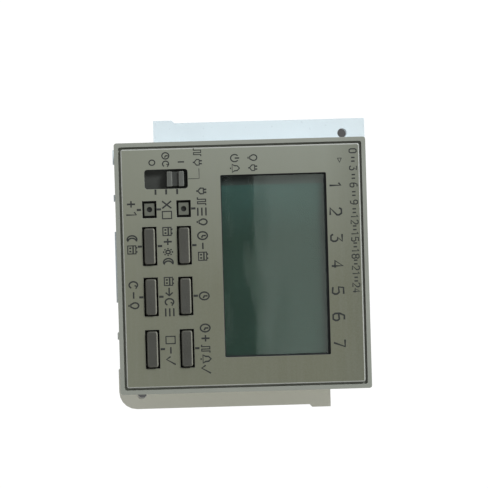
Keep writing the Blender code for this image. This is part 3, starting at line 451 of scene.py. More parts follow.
def panel_finish():
    made, tree = new_finish("panel_paint")
    point = object_point(tree)
    across, up = coordinate(tree, point, "X"), coordinate(tree, point, "Z")
    # Lighter towards the left: painted light from the side the key light stands on.
    base = blend_colour(tree, remap(tree, across, -0.034, 0.006, 1.0, 0.0), PAINT, PAINT_LIT_LEFT)
    low = remap(tree, up, -0.034, 0.010, 0.45, 0.0)
    base = blend_colour(tree, low, base, PAINT_LOW)
    high = remap(tree, up, 0.024, 0.036, 0.0, 0.6)
    base = blend_colour(tree, high, base, PAINT_HIGH)
    cloud = remap(tree, noise(tree, point, 70.0, 4.0), 0.32, 0.68, 0.0, 1.0)
    base = blend_colour(tree, cloud, base, blend_colour(tree, 0.12, base, (0.10, 0.11, 0.07)))
    streak = drawn_noise(tree, point, (60.0, 60.0, 900.0), 2.0)
    base = blend_colour(tree, remap(tree, streak, 0.45, 0.75, 0.0, 0.10), base, (0.26, 0.26, 0.23))
    grain = noise(tree, point, 1900.0, 2.0)
    base = blend_colour(tree, remap(tree, grain, 0.35, 0.65, 0.0, 0.16), base, (0.24, 0.24, 0.20))
    # The edge strips are painted much lighter, a painted highlight.
    edge_band = edge_strips(tree)
    base = blend_colour(tree, edge_band, base, PAINT_EDGE_HIGHLIGHT)
    gloss = remap(tree, cloud, 0.0, 1.0, 0.36, 0.46)
    peel = noise(tree, point, 1400.0, 2.0)
    shade(tree, Base_Color=base, Roughness=gloss, Metallic=0.15, IOR=1.5,
          Normal=bump(tree, peel, 0.012 * MM))
    return made


PANEL_PAINT = panel_finish()
PANEL_BEVEL, OPENING_BEVEL = 0.35 * MM, 0.12 * MM
OPENING_HIGHLIGHT = 0.35
# Outer edges lie nearer to the panel's side than the first, and openings farther than the second.
OUTER_BAND, OPENING_BAND = 0.7 * MM, 1.5 * MM
panel_low, panel_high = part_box("front_panel")


def front_edges(mesh, low, high):
    """Sharp edges of the panel's front face that lie between two distances from its middle."""
    return [e for e in sharp_edges(mesh) if all(
        v.co.y < panel_low.y + 0.01 * MM and low < max(abs(v.co.x), abs(v.co.z)) < high
        for v in e.verts)]


panel = copy_of("front_panel")
outer = front_edges(panel, panel_high.x - OUTER_BAND, math.inf)
round_edges(panel, outer, PANEL_BEVEL, 3)
inner = front_edges(panel, 0.0, panel_high.x - OPENING_BAND)
# The opening edges get a weaker painted highlight.
for face in round_edges(panel, inner, OPENING_BEVEL, 2):
    face[panel.faces.layers.float["edge"]] = OPENING_HIGHLIGHT
finish_piece("front_panel_finished", panel, "case", PANEL_PAINT, "panel_metal", "front_panel")
print("panel:", len(outer), "outer edges and", len(inner), "opening edges rounded")

# %% [markdown]
# ## The display
# Behind the clear window lies the display cell: two sheets of glass with a polariser on top, which
# gives the grey-green field. On the left the glass reaches past the polariser, so a dark band shows
# there. The switched-off segments are just visible as slightly darker marks. The window is real glass
# to the camera, and lets light through to what is behind it, since bent light would need many more
# samples to find its way in.


# %% Clear window
def clear_finish():
    made, tree = new_finish("window_clear")
    point = object_point(tree)
    smear = drawn_noise(tree, point, (40.0, 40.0, 220.0), 3.0, turn=(0.0, 0.5, 0.0))
    rough = remap(tree, smear, 0.45, 0.75, 0.015, 0.10)
    pane = node(tree, "BsdfPrincipled", {"Base Color": (0.97, 1.0, 0.985, 1.0), "Roughness": rough,
                                         "Transmission Weight": 1.0, "IOR": 1.49})
    lamp = node(tree, "BsdfTransparent", {"Color": (0.88, 0.92, 0.90, 1.0)})
    path = node(tree, "LightPath")
    both = node(tree, "MixShader", {0: path.outputs["Is Shadow Ray"], 1: pane.outputs[0],
                                    2: lamp.outputs[0]})
    node(tree, "OutputMaterial", {"Surface": both.outputs[0]})
    return made


WINDOW = clear_finish()
softened("lcd_window", WINDOW, "clear_plastic", 0.1, smooth=0)


# %% Display cell
def cell_finish(name, colour, tint, roughness):
    made, tree = new_finish(name)
    point = object_point(tree)
    cloud = remap(tree, noise(tree, point, 45.0, 3.0), 0.3, 0.7, 0.0, 1.0)
    # Towards the left the colour is painted towards tint, a lighter bluish painted haze of light.
    left = remap(tree, coordinate(tree, point, "X"), -0.026, -0.008, 1.0, 0.0)
    base = blend_colour(tree, cloud, scaled(colour, 0.94), scaled(colour, 1.06))
    base = blend_colour(tree, left, base, tint)
    weave = noise(tree, point, 3200.0, 1.0)
    base = blend_colour(tree, remap(tree, weave, 0.35, 0.65, 0.0, 0.2), base, scaled(colour, 1.25))
    shade(tree, Base_Color=base, Roughness=remap(tree, cloud, 0.0, 1.0, roughness, roughness + 0.06),
          Normal=bump(tree, weave, 0.002 * MM), IOR=1.5, Specular_IOR_Level=0.22)
    return made


FIELD = (0.009, 0.024, 0.016)
FIELD_LIT_LEFT = (0.022, 0.052, 0.046)
POLARISER = cell_finish("polariser_green", FIELD, FIELD_LIT_LEFT, 0.5)
CELL_EDGE = cell_finish("cell_glass", (0.022, 0.026, 0.022), (0.022, 0.026, 0.024), 0.35)
SEGMENT = cell_finish("segment_shadow", scaled(FIELD, 0.90), scaled(FIELD_LIT_LEFT, 0.88), 0.5)

window_low, window_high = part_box("lcd_window")
cell_low, cell_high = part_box("lcd_glass")
OPENING_HALF = Vector((26.1, 0.0, 15.15)) * MM
window_middle = (window_low + window_high) / 2
BAND = 3.0 * MM
SHEET, SHEET_INSET = 0.15 * MM, 0.8 * MM


def upright(edges):
    """Those of the edges that run along Y."""
    return [e for e in edges if abs(e.verts[0].co.x - e.verts[1].co.x) < 1e-8
            and abs(e.verts[0].co.z - e.verts[1].co.z) < 1e-8]


def plate(mesh, low, high, radius=0.0, segments=2):
    """Adds a flat box between two corners, with its upright edges along Y rounded."""
    low, high = Vector(low), Vector(high)
    size = high - low
    place = Matrix.Translation((low + high) / 2) @ Matrix.Diagonal((*size, 1.0))
    verts = bmesh.ops.create_cube(mesh, size=1.0, matrix=place)["verts"]
    if radius:
        corners = upright({e for v in verts for e in v.link_edges})
        bmesh.ops.bevel(mesh, geom=corners, offset=radius, segments=segments, profile=0.5,
                        affect="EDGES", material=-1)


softened("lcd_glass", CELL_EDGE, "lcd_green", 0.15)
sheet_left = window_middle.x - OPENING_HALF.x + BAND
polariser = bmesh.new()
plate(polariser, (sheet_left, cell_low.y - SHEET, cell_low.z + SHEET_INSET),
      (cell_high.x - SHEET_INSET, cell_low.y + 0.02 * MM, cell_high.z - SHEET_INSET))
finish_piece("display_polariser", polariser, "case", POLARISER, "lcd_green")
print("display field starts", round((sheet_left - cell_low.x) / MM, 1), "mm inside the glass")

# %% [markdown]
# ## Dark strip round the display, a painted shade
# A thin black strip lies between the panel and the window. It is a dark sheet put in as painted
# shade, and makes the dark line along the sides of the opening, widest at the top. One flat frame
# could be inset to make it, but its four widths differ, so four flat bars are simpler.

# %% Dark strip, painted shade
SHADE_STRIP_TOP, SHADE_STRIP_RIGHT, SHADE_STRIP_BOTTOM, SHADE_STRIP_LEFT = 0.75 * MM, 0.5 * MM, 0.25 * MM, 0.45 * MM
SHADE_STRIP_LAP = 0.5 * MM
shade_strip_y = (window_low.y - 0.25 * MM, window_low.y - 0.05 * MM)
hole_low, hole_high = window_middle - OPENING_HALF, window_middle + OPENING_HALF
lap = Vector((SHADE_STRIP_LAP, 0.0, SHADE_STRIP_LAP))
out_low, out_high = hole_low - lap, hole_high + lap
in_low = hole_low + Vector((SHADE_STRIP_LEFT, 0.0, SHADE_STRIP_BOTTOM))
in_high = hole_high - Vector((SHADE_STRIP_RIGHT, 0.0, SHADE_STRIP_TOP))
shade_strip = bmesh.new()
for low_x, low_z, high_x, high_z in (
    (out_low.x, in_high.z, out_high.x, out_high.z),
    (out_low.x, out_low.z, out_high.x, in_low.z),
    (out_low.x, in_low.z, in_low.x, in_high.z),
    (in_high.x, in_low.z, out_high.x, in_high.z),
):
    plate(shade_strip, (low_x, shade_strip_y[0], low_z), (high_x, shade_strip_y[1], high_z))
SHADE_STRIP_BLACK = plastic("black_shade_strip", (0.012, 0.014, 0.014), 0.85, grain=0.06, cloud=0.3, edge=1.2, specks=0.0)
finish_piece("window_shade_strip", shade_strip, "case", SHADE_STRIP_BLACK, "black_plastic")
print("shade_strip", round(SHADE_STRIP_TOP / MM, 2), "mm wide at the top")

# %% [markdown]
# ## Strokes
# The digits of the display and the marks printed on the panel are strokes of one width, so they share
# one maker. A stroke is a poly curve with a round bevel. It is turned into a mesh and pressed flat, so
# it ends up as a low ridge with a soft edge, like ink or a moulded mark. A text object would be
# quicker for words, but the marks here are pictures and single digits.

# %% Stroke maker
DIGITS = {
    "0": [[(0.2, 0), (0.8, 0), (1, 0.2), (1, 0.8), (0.8, 1), (0.2, 1), (0, 0.8), (0, 0.2), (0.2, 0)]],
    "1": [[(0.2, 0.8), (0.55, 1), (0.55, 0)]],
    "2": [[(0, 0.8), (0.2, 1), (0.8, 1), (1, 0.8), (1, 0.6), (0, 0), (1, 0)]],
    "3": [[(0, 1), (1, 1), (0.45, 0.6), (0.8, 0.6), (1, 0.4), (1, 0.2), (0.8, 0), (0.2, 0), (0, 0.2)]],
    "4": [[(0.75, 0), (0.75, 1), (0, 0.3), (1, 0.3)]],
    "5": [[(1, 1), (0.1, 1), (0, 0.55), (0.75, 0.6), (1, 0.4), (1, 0.2), (0.8, 0), (0, 0.05)]],
    "6": [[(0.9, 1), (0.3, 1), (0, 0.6), (0, 0.2), (0.2, 0), (0.8, 0), (1, 0.2), (1, 0.4),
           (0.8, 0.55), (0.05, 0.5)]],
    "7": [[(0, 1), (1, 1), (0.4, 0)]],
    "8": [[(0.2, 0.55), (0, 0.75), (0, 0.85), (0.2, 1), (0.8, 1), (1, 0.85), (1, 0.75), (0.8, 0.55),
           (0.2, 0.55), (0, 0.35), (0, 0.2), (0.2, 0), (0.8, 0), (1, 0.2), (1, 0.35), (0.8, 0.55)]],
    "9": [[(0.1, 0), (0.7, 0), (1, 0.4), (1, 0.8), (0.8, 1), (0.2, 1), (0, 0.8), (0, 0.6),
           (0.2, 0.45), (0.95, 0.5)]],
}


def arc(centre, radius, start, end, steps=10):
    """Points on a round arc, with its angles in degrees from the right, turning left."""
    turns = [math.radians(start + (end - start) * i / steps) for i in range(steps + 1)]
    return [(centre[0] + radius * math.cos(t), centre[1] + radius * math.sin(t)) for t in turns]


MARKS = {
    "clock": [arc((0.5, 0.5), 0.48, 0, 360, 14), [(0.5, 0.82), (0.5, 0.5), (0.76, 0.4)]],
    "week": [[(0, 0.05), (1, 0.05), (1, 0.85), (0, 0.85), (0, 0.05)], [(0, 0.58), (1, 0.58)],
             [(0.3, 0.2), (0.3, 0.4)], [(0.7, 0.2), (0.7, 0.4)], [(0.25, 1), (0.25, 0.85)],
             [(0.75, 1), (0.75, 0.85)]],
    "sun": [arc((0.5, 0.5), 0.22, 0, 360, 8), [(0.5, 0.86), (0.5, 1)], [(0.5, 0), (0.5, 0.14)],
            [(0, 0.5), (0.14, 0.5)], [(0.86, 0.5), (1, 0.5)], [(0.15, 0.15), (0.25, 0.25)],
            [(0.75, 0.75), (0.85, 0.85)], [(0.15, 0.85), (0.25, 0.75)], [(0.75, 0.25), (0.85, 0.15)]],
    "moon": [arc((0.5, 0.5), 0.48, 60, 300, 10) + arc((0.75, 0.5), 0.42, 250, 110, 8)],
    "pulse": [[(0, 0.1), (0.25, 0.1), (0.25, 0.9), (0.55, 0.9), (0.55, 0.1), (0.8, 0.1), (0.8, 0.9),
               (1, 0.9)]],
    "plus": [[(0.5, 0.1), (0.5, 0.9)], [(0.1, 0.5), (0.9, 0.5)]],
    "dash": [[(0.1, 0.5), (0.9, 0.5)]],
    "arrow": [[(0, 0.5), (1, 0.5)], [(0.6, 0.85), (1, 0.5), (0.6, 0.15)]],
    "loop": [arc((0.5, 0.5), 0.42, 60, 330, 12), [(0.55, 0.62), (0.72, 0.86), (0.95, 0.72)]],
    "check": [[(0, 0.45), (0.35, 0.05), (1, 0.95)]],
    "cross": [[(0.05, 0.05), (0.95, 0.95)], [(0.05, 0.95), (0.95, 0.05)]],
    "bars": [[(0, 0.1), (1, 0.1)], [(0, 0.5), (1, 0.5)], [(0, 0.9), (1, 0.9)]],
    "box": [[(0.05, 0.05), (0.95, 0.05), (0.95, 0.95), (0.05, 0.95), (0.05, 0.05)]],
    "plug": [[(0.15, 0.4), (0.15, 0.7), (0.85, 0.7), (0.85, 0.4), (0.5, 0.15), (0.15, 0.4)],
             [(0.32, 0.7), (0.32, 1)], [(0.68, 0.7), (0.68, 1)], [(0.5, 0.15), (0.5, 0)]],
    "lamp": [arc((0.5, 0.62), 0.36, -50, 230, 10) + [(0.34, 0.2), (0.66, 0.2), (0.73, 0.34)],
             [(0.38, 0.02), (0.62, 0.02)]],
    "bell": [[(0, 0.2), (1, 0.2), (0.82, 0.45), (0.8, 0.75), (0.5, 1), (0.2, 0.75), (0.18, 0.45),
              (0, 0.2)], [(0.4, 0.02), (0.6, 0.02)]],
    "on": [[(0.5, 0.05), (0.5, 0.95)]],
    "off": [arc((0.5, 0.5), 0.42, 0, 360, 14)],
    "ring_on": [arc((0.5, 0.5), 0.45, 130, 410, 12), [(0.5, 1), (0.5, 0.5)]],
    **DIGITS,
}


def wires(name, lines, radius, resolution):
    """A bmesh of round wires along lists of (X, Y, Z). A line that ends where it starts is closed."""
    curve = bpy.data.curves.new(name, "CURVE")
    curve.dimensions = "3D"
    curve.bevel_depth = radius
    curve.bevel_resolution = resolution
    curve.use_fill_caps = True
    for line in lines:
        spline = curve.splines.new("POLY")
        closed = line[0] == line[-1] and len(line) > 2
        points = line[:-1] if closed else line
        spline.points.add(len(points) - 1)
        for point, place in zip(spline.points, points):
            point.co = (*place, 1.0)
        spline.use_cyclic_u = closed
    holder = bpy.data.objects.new(name + "_curve", curve)
    bpy.context.scene.collection.objects.link(holder)
    bpy.context.view_layer.update()
    data = bpy.data.meshes.new_from_object(holder.evaluated_get(bpy.context.evaluated_depsgraph_get()))
    bpy.data.objects.remove(holder)
    mesh = bmesh.new()
    mesh.from_mesh(data)
    bpy.data.meshes.remove(data)
    bpy.data.curves.remove(curve)
    return mesh


def strokes(name, lines, width, height, surface, finish, slot):
    """Low ridges along the lines, as one piece. Lines are lists of (X, Z) in metres."""
    mesh = wires(name, [[(x, 0.0, z) for x, z in line] for line in lines], width / 2, 1)
    bmesh.ops.remove_doubles(mesh, verts=mesh.verts, dist=0.001 * MM)
    bmesh.ops.scale(mesh, verts=mesh.verts, vec=(1.0, 2 * height / width, 1.0))
    bmesh.ops.translate(mesh, verts=mesh.verts, vec=(0.0, surface, 0.0))
    bmesh.ops.recalc_face_normals(mesh, faces=mesh.faces)
    faces = len(mesh.faces)
    finish_piece(name, mesh, "case", finish, slot, smooth=60)
    print(name, len(lines), "strokes,", faces, "faces")


def mark(name, x, z, width, height):
    """The strokes of one mark, centred at X and Z, in metres."""
    return [[((u - 0.5) * width * MM + x * MM, (v - 0.5) * height * MM + z * MM) for u, v in line]
            for line in MARKS[name]]


def rule(*points):
    """One stroke through points in millimetres."""
    return [[(x * MM, z * MM) for x, z in points]]


# %% [markdown]
# ## Off segments
# A liquid crystal display that is switched off still shows its segments faintly. Four large digits and
# a row of small ones are laid on the polariser, in a tone only a little darker than the field.

# %% Display segments
SLANT = 0.08


def seven_segments(x, z, width, height):
    """The seven bars of a display digit, slightly slanted, as strokes with small gaps between."""
    gap = 0.09
    bars = [((gap, 1), (1 - gap, 1)), ((gap, 0.5), (1 - gap, 0.5)), ((gap, 0), (1 - gap, 0))]
    for side in (0, 1):
        bars += [((side, gap / 2), (side, 0.5 - gap / 2)), ((side, 0.5 + gap / 2), (side, 1 - gap / 2))]
    return [[((x + (u - 0.5) * width + (v - 0.5) * height * SLANT) * MM,
              (z + (v - 0.5) * height) * MM) for u, v in bar] for bar in bars]


DAYS, DAY_LEFT, DAY_STEP = 7, -22.35, 7.55
FIRST_DASH = -20.4  # farther right than the first day, clear of the polariser's edge
SEGMENT_HEIGHT = 0.02 * MM
segment_lines = []
for column in (-13.0, -4.5, 5.5, 14.0):
    segment_lines += seven_segments(column, 6.5, 5.0, 11.0)
thin_lines = []
for i in range(DAYS):
    thin_lines += mark("dash", DAY_LEFT + DAY_STEP * i if i else FIRST_DASH, 22.6, 3.0, 1.0)
for column in (18.8, 21.6):
    thin_lines += seven_segments(column, -1.5, 1.8, 3.6)
for x, z in ((0.3, 8.6), (0.1, 3.8)):  # the two dots of the colon
    thin_lines += rule((x, z), (x + 0.05, z + 0.7))
segment_y = cell_low.y - SHEET
strokes("display_digits", segment_lines, 1.0 * MM, SEGMENT_HEIGHT, segment_y, SEGMENT, "lcd_green")
strokes("display_marks", thin_lines, 0.5 * MM, SEGMENT_HEIGHT, segment_y, SEGMENT, "lcd_green")

# %% [markdown]
# ## Keys
# A key is a small hard-rubber or plastic cap in a tight hole, with a flange behind the wall that
# keeps it in. Its face is nearly flat, and its front edges are generously rounded. Its upper edge is
# painted pale as a bright line, a painted highlight. The cap starts as a box. Bevels round its upright
# edges first and its front edges after them. The first radius has to be the larger one, or the corners
# pinch. Little light gets into the narrow gap round a cap, so the finish is painted darker with depth,
# a painted shade.

# %% Key finish
GAP_DEPTH = (panel_low.y + 0.1 * MM, panel_low.y + 0.9 * MM)
KEY_GREY = plastic("key_rubber_grey", (0.053, 0.051, 0.041), 0.5, grain=0.05, cloud=0.16, edge=1.5,
                   specks=0.4, deep=GAP_DEPTH, top_edge_highlight=5.0)
# The buttons and the knob are painted darker with depth too, a painted shade in their wells and slot.
BUTTON_GREY = plastic("button_grey", (0.125, 0.128, 0.100), 0.5, grain=0.03, cloud=0.07, edge=1.3,
                      specks=0.2, deep=(panel_low.y + 1.0 * MM, panel_low.y + 1.3 * MM))
KNOB_GREY = plastic("knob_grey", (0.100, 0.102, 0.090), 0.42, cloud=0.06, edge=1.7,
                    deep=(panel_low.y, panel_low.y + 0.5 * MM), gap=0.42)


def cap(low, high, side_radius, face_radius):
    """A box from low to high whose face towards the viewer has round edges."""
    mesh = bmesh.new()
    mesh.faces.layers.float.new("edge")
    plate(mesh, low, high)
    bmesh.ops.bevel(mesh, geom=upright(mesh.edges), offset=side_radius, segments=3, profile=0.5,
                    affect="EDGES", material=-1)
    rim = [e for e in mesh.edges if all(v.co.y < low[1] + 1e-7 for v in e.verts)]
    round_edges(mesh, rim, face_radius, 4)
    return mesh


KEYS = ["mode_key", "hour_key", "minute_key", "weekday_key", "advance_key", "set_key"]
BUTTONS = ["clear_button", "plus_hour_button"]
FLANGE, FLANGE_CORNER = 0.9 * MM, 0.3 * MM
SIDE_RADIUS, FACE_RADIUS = 0.65 * MM, 0.42 * MM
CAP_INSET = (0.9 * MM, 1.02 * MM)  # of the cap inside its flange, in X and in Z
for name in KEYS:
    low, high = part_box(name)
    face_low = Vector((low.x + CAP_INSET[0], low.y, low.z + CAP_INSET[1]))
    face_high = Vector((high.x - CAP_INSET[0], high.y - FLANGE / 2, high.z - CAP_INSET[1]))
    mesh = cap(face_low, face_high, SIDE_RADIUS, FACE_RADIUS)
    plate(mesh, (low.x, high.y - FLANGE, low.z), high, radius=FLANGE_CORNER)
    finish_piece(name + "_cap", mesh, BODY_OF[name], KEY_GREY, "key_rubber", name)
print("key face", [round(v / MM, 1) for v in (face_high - face_low)], "mm")

# %% [markdown]
# ## Sunk buttons
# The two small buttons are pressed with a pen tip, so each sits in a square well and has a round
# dimple. The dimple is cut with a circle drawn on the face, extruded inwards. The CAD piece has it
# already, so the copy only needs round edges.

# %% Sunk buttons
for name in BUTTONS:
    softened(name, BUTTON_GREY, "key_rubber", 0.22)

# %% [markdown]
# ## Slide knob
# The knob has two raised ridges with a groove between them, for a finger nail. Its skirt hides the
# inside of the case wherever the knob stands. The ridges get a full round on both edges.

# %% Slide knob
softened("slide_knob", KNOB_GREY, "knob_plastic", 0.2)

# %% [markdown]
# ## Printed marks
# The print is dark grey ink, screened on the paint. Each key has a short tick above it and a label.
# The labels here are plain pictures: a clock for the time, a calendar for the day, and so on. The
# days of the week are the numbers 1 to 7 above the display.


# %% Ink
def ink_finish():
    made, tree = new_finish("print_ink")
    point = object_point(tree)
    thin = remap(tree, noise(tree, point, 1500.0, 3.0), 0.35, 0.7, 0.0, 0.3)
    base = blend_colour(tree, thin, (0.010, 0.011, 0.010), (0.048, 0.050, 0.042))
    shade(tree, Base_Color=base, Roughness=0.55, IOR=1.5,
          Normal=bump(tree, noise(tree, point, 2500.0), 0.004 * MM))
    return made


INK = ink_finish()
INK_HEIGHT = 0.035 * MM
LABEL_SIZE = (2.3, 2.9, 2.95)  # width and height of a mark, and the step to the next
LABEL_ROWS = (-11.3, -21.3, -31.5)


def print_on_panel(name, lines, width):
    strokes(name, lines, width * MM, INK_HEIGHT, panel_low.y, INK, "panel_metal")


def row(names, x, z, width, height, step):
    """Several marks side by side, centred at X."""
    lines = []
    for i, name in enumerate(names):
        lines += mark(name, x + (i - (len(names) - 1) / 2) * step, z, width, height)
    return lines


labels = []
for level, x, names in (
    (0, -17.3, ("plug", "pulse", "bars", "lamp")),
    (0, -6.0, ("clock", "dash", "week")),
    (0, 8.3, ("clock",)),
    (0, 23.4, ("clock", "plus", "pulse", "bell", "check")),
    (1, -16.6, ("cross", "box")),
    (1, -6.0, ("week", "plus", "sun", "moon")),
    (1, 8.3, ("week", "arrow", "loop", "bars")),
    (1, 23.6, ("box", "dash", "check")),
    (2, -17.0, ("plus", "1")),
    (2, -6.9, ("moon", "week")),
    (2, 7.6, ("loop", "dash", "lamp")),
):
    labels += row(names, x, LABEL_ROWS[level], *LABEL_SIZE)
print_on_panel("panel_labels", labels, 0.50)

side_labels = []
for names, x, z, *size in (
    (("lamp", "plug"), -29.4, 3.6, 2.3, 2.6, 2.9),
    (("ring_on", "bell"), -29.4, -1.5, 2.3, 2.6, 2.9),
    (("pulse", "plug"), -31.4, -12.2, 2.3, 2.6, 2.9),
    (("on",), -30.2, -16.9, 1.8, 2.0, 2.4),
    (("clock", "loop"), -30.9, -21.3, 1.9, 2.1, 2.3),
    (("off",), -30.2, -25.2, 1.8, 2.0, 2.4),
):
    side_labels += row(names, x, z, *size)
print_on_panel("panel_side_labels", side_labels, 0.40)

scale = []
SCALE_LEFT, SCALE_STEP, SCALE_Z, SCALE_PARTS = -32.0, 4.9, 32.3, 8
for i in range(SCALE_PARTS + 1):
    x = SCALE_LEFT + SCALE_STEP * i
    digits = str(3 * i)
    scale += row(digits, x, SCALE_Z, 1.1, 2.0, 1.6)
    if i < SCALE_PARTS:
        for part in (1, 2):
            dot = x + SCALE_STEP * (0.18 + part / 4.7)
            scale += rule((dot, SCALE_Z - 0.5), (dot, SCALE_Z + 0.5))
scale += rule((-30.0, 27.9), (-28.8, 28.45), (-30.0, 29.0), (-30.0, 27.9))
print_on_panel("panel_scale", scale, 0.40)

days = []
for i in range(DAYS):
    days += mark(str(i + 1), DAY_LEFT + DAY_STEP * i, 27.0, 2.0, 3.2)
print_on_panel("panel_days", days, 0.62)

ticks = []
for x in (-16.8, -6.3, 8.2, 23.2):
    ticks += rule((x, -14.35), (x, -13.1))
    ticks += rule((x, -24.2), (x, -22.95))
for x in (-16.8, -6.3, 8.2):
    ticks += rule((x, -28.7), (x, -29.9))
for z in (-18.2, -21.35, -24.4):
    ticks += rule((-22.5, z), (-21.0, z))
print_on_panel("panel_ticks", ticks, 0.62)
print_on_panel("panel_leader", rule((-28.2, -11.8), (-25.3, -11.8), (-25.3, -15.0)), 0.22)

# %% [markdown]
# ## Metal
# Screws and washers are zinc-plated steel, the terminal plates are tinned brass. Sheet metal keeps
# the fine lines of rolling and wire those of drawing, so the noise is stretched along one direction.
# The plating dulls in spots, and the edges are rubbed bright.


# %% Metal finishes
def metal(name, colour, roughness, stretch, stain=0.35):
    made, tree = new_finish(name)
    point = object_point(tree)
    line = drawn_noise(tree, point, stretch, 3.0)
    spot = remap(tree, noise(tree, point, 320.0, 4.0), 0.5, 0.72, 0.0, stain)
    base = blend_colour(tree, spot, colour, scaled(colour, 0.5))
    base = blend_colour(tree, remap(tree, line, 0.4, 0.7, 0.0, 0.3), base, scaled(colour, 1.2))
    edge_band = edge_strips(tree)
    base = blend_colour(tree, edge_band, base, scaled(colour, 1.3))
    gloss = remap(tree, line, 0.3, 0.7, roughness - 0.08, roughness + 0.12)
    shade(tree, Base_Color=base, Metallic=1.0, Roughness=gloss, Normal=bump(tree, line, 0.004 * MM))
    return made


STEEL = metal("plated_steel", (0.55, 0.55, 0.52), 0.34, (900.0, 900.0, 90.0))
BRASS = metal("tinned_brass", (0.62, 0.50, 0.26), 0.33, (900.0, 90.0, 900.0))
SOLDER = metal("solder", (0.60, 0.60, 0.60), 0.28, (300.0, 300.0, 300.0), stain=0.6)

# %% [markdown]
# ## Screws
# A screw is turned: its head and shank come from a lathe, and the thread is rolled. The CAD copy gives
# the head with its cross slot. The thread is a small triangle spun round the axis while it moves
# along, which leaves one helical ridge. It stays inside the play that its hole has.


# %% Threaded screws
PITCH, THREAD_HEIGHT, THREAD_ROOT, THREAD_STEPS = 0.7 * MM, 0.12 * MM, 0.05 * MM, 14


def add_thread(mesh, axis, start, length, radius):
    """A helical ridge round the axis, from start, with both ends closed."""
    axis = Vector(axis)
    outward = Vector((1.0, 0.0, 0.0))
    foot = 0.32 * PITCH
    root, crest = outward * (radius - THREAD_ROOT), outward * (radius + THREAD_HEIGHT)
    profile = [start + root - axis * foot, start + crest, start + root + axis * foot]
    verts = [mesh.verts.new(point) for point in profile]
    edges = [mesh.edges.new((verts[i], verts[(i + 1) % 3])) for i in range(3)]
    turns = length / PITCH
    before = set(mesh.faces)
    bmesh.ops.spin(mesh, geom=verts + edges, cent=start, axis=axis, dvec=axis * (PITCH / THREAD_STEPS),
                   angle=math.tau * turns, steps=int(turns * THREAD_STEPS))
    open_edges = [e for e in mesh.edges if e.is_boundary]
    bmesh.ops.holes_fill(mesh, edges=open_edges, sides=4)
    bmesh.ops.recalc_face_normals(mesh, faces=[f for f in mesh.faces if f not in before])


TERMINAL_SHANK, CASE_SHANK = 1.75 * MM, 1.5 * MM
TERMINAL_HEAD, TERMINAL_POINT = 3.4 * MM, 1.2 * MM
CASE_HEAD, CASE_THREAD = 2.0 * MM, 9.0 * MM
for number in range(1, 5):
    name = f"terminal_screw_{number}"
    low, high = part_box(name)
    middle = (low + high) / 2
    foot = Vector((middle.x, middle.y, low.z + TERMINAL_HEAD))
    softened(name, STEEL, "steel", 0.14, extra=lambda mesh: add_thread(
        mesh, (0, 0, 1), foot, high.z - foot.z - TERMINAL_POINT, TERMINAL_SHANK))
    softened(f"clamp_washer_{number}", STEEL, "steel", 0.12)
    softened(f"terminal_plate_{number}", BRASS, "brass", 0.12)
for side in ("left", "right"):
    name = f"case_screw_{side}"
    low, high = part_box(name)
    middle = (low + high) / 2
    foot = Vector((middle.x, low.y + CASE_HEAD, middle.z))
    softened(name, STEEL, "steel", 0.14, extra=lambda mesh: add_thread(
        mesh, (0, 1, 0), foot, CASE_THREAD, CASE_SHANK))

# %% [markdown]
# ## Latch spring
# A compression spring is wire wound on a mandrel. A curve with a round bevel follows the helix, and
# the first and last turns lie close together, as they do on a real one.

# %% Latch spring
WIRE = 0.25 * MM
spring_low, spring_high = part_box("latch_spring")
spring_middle = (spring_low + spring_high) / 2
spring_radius = (spring_high.x - spring_low.x) / 2 - WIRE
TURNS, SPRING_STEPS = 7, 20
CLOSE_ENDS = 0.56  # share of the climb that the end turns lose to the middle ones
points = []
for i in range(TURNS * SPRING_STEPS + 1):
    share = i / (TURNS * SPRING_STEPS)
    angle = math.tau * TURNS * share
    climb = share - CLOSE_ENDS / math.tau * math.sin(math.tau * share)
    points.append((spring_middle.x + spring_radius * math.cos(angle),
                   spring_middle.y + spring_radius * math.sin(angle),
                   spring_low.z + WIRE + (spring_high.z - spring_low.z - 2 * WIRE) * climb))
coil = wires("spring_wire", [points], WIRE, 3)
spring = finish_piece("latch_spring_finished", coil, BODY_OF["latch_spring"], STEEL, "steel",
                      "latch_spring", smooth=60)
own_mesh(spring)

# %% [markdown]
# ## Circuit boards
# A board is glass-fibre laminate with copper tracks under a green solder mask. The tracks show as
# slightly paler lines, straight and with square turns. A Voronoi pattern measured along the axes
# gives such turns. The joints on the board are small cones of solder round each pin.


# %% Circuit boards
def board_finish():
    made, tree = new_finish("solder_mask")
    point = object_point(tree)
    cells = node(tree, "TexVoronoi", {"Vector": point, "Scale": 260.0, "Randomness": 0.8},
                 distance="CHEBYCHEV", feature="F1")
    track = remap(tree, cells.outputs["Distance"], 0.40, 0.43, 0.0, 1.0)
    mask, copper = (0.012, 0.095, 0.040), (0.035, 0.17, 0.060)
    base = blend_colour(tree, track, mask, copper)
    cloud = remap(tree, noise(tree, point, 90.0, 3.0), 0.35, 0.65, 0.0, 0.35)
    base = blend_colour(tree, cloud, base, scaled(mask, 0.6))
    edge_band = edge_strips(tree)
    base = blend_colour(tree, edge_band, base, (0.32, 0.30, 0.16))
    weave = node(tree, "TexWave", {"Vector": point, "Scale": 700.0, "Distortion": 0.5})
    height = node(tree, "Math", {0: track, 1: weave.outputs["Fac"]}, operation="ADD").outputs[0]
    shade(tree, Base_Color=base, Roughness=remap(tree, cloud, 0.0, 0.35, 0.30, 0.42), IOR=1.5,
          Normal=bump(tree, height, 0.02 * MM, strength=0.5))
    return made


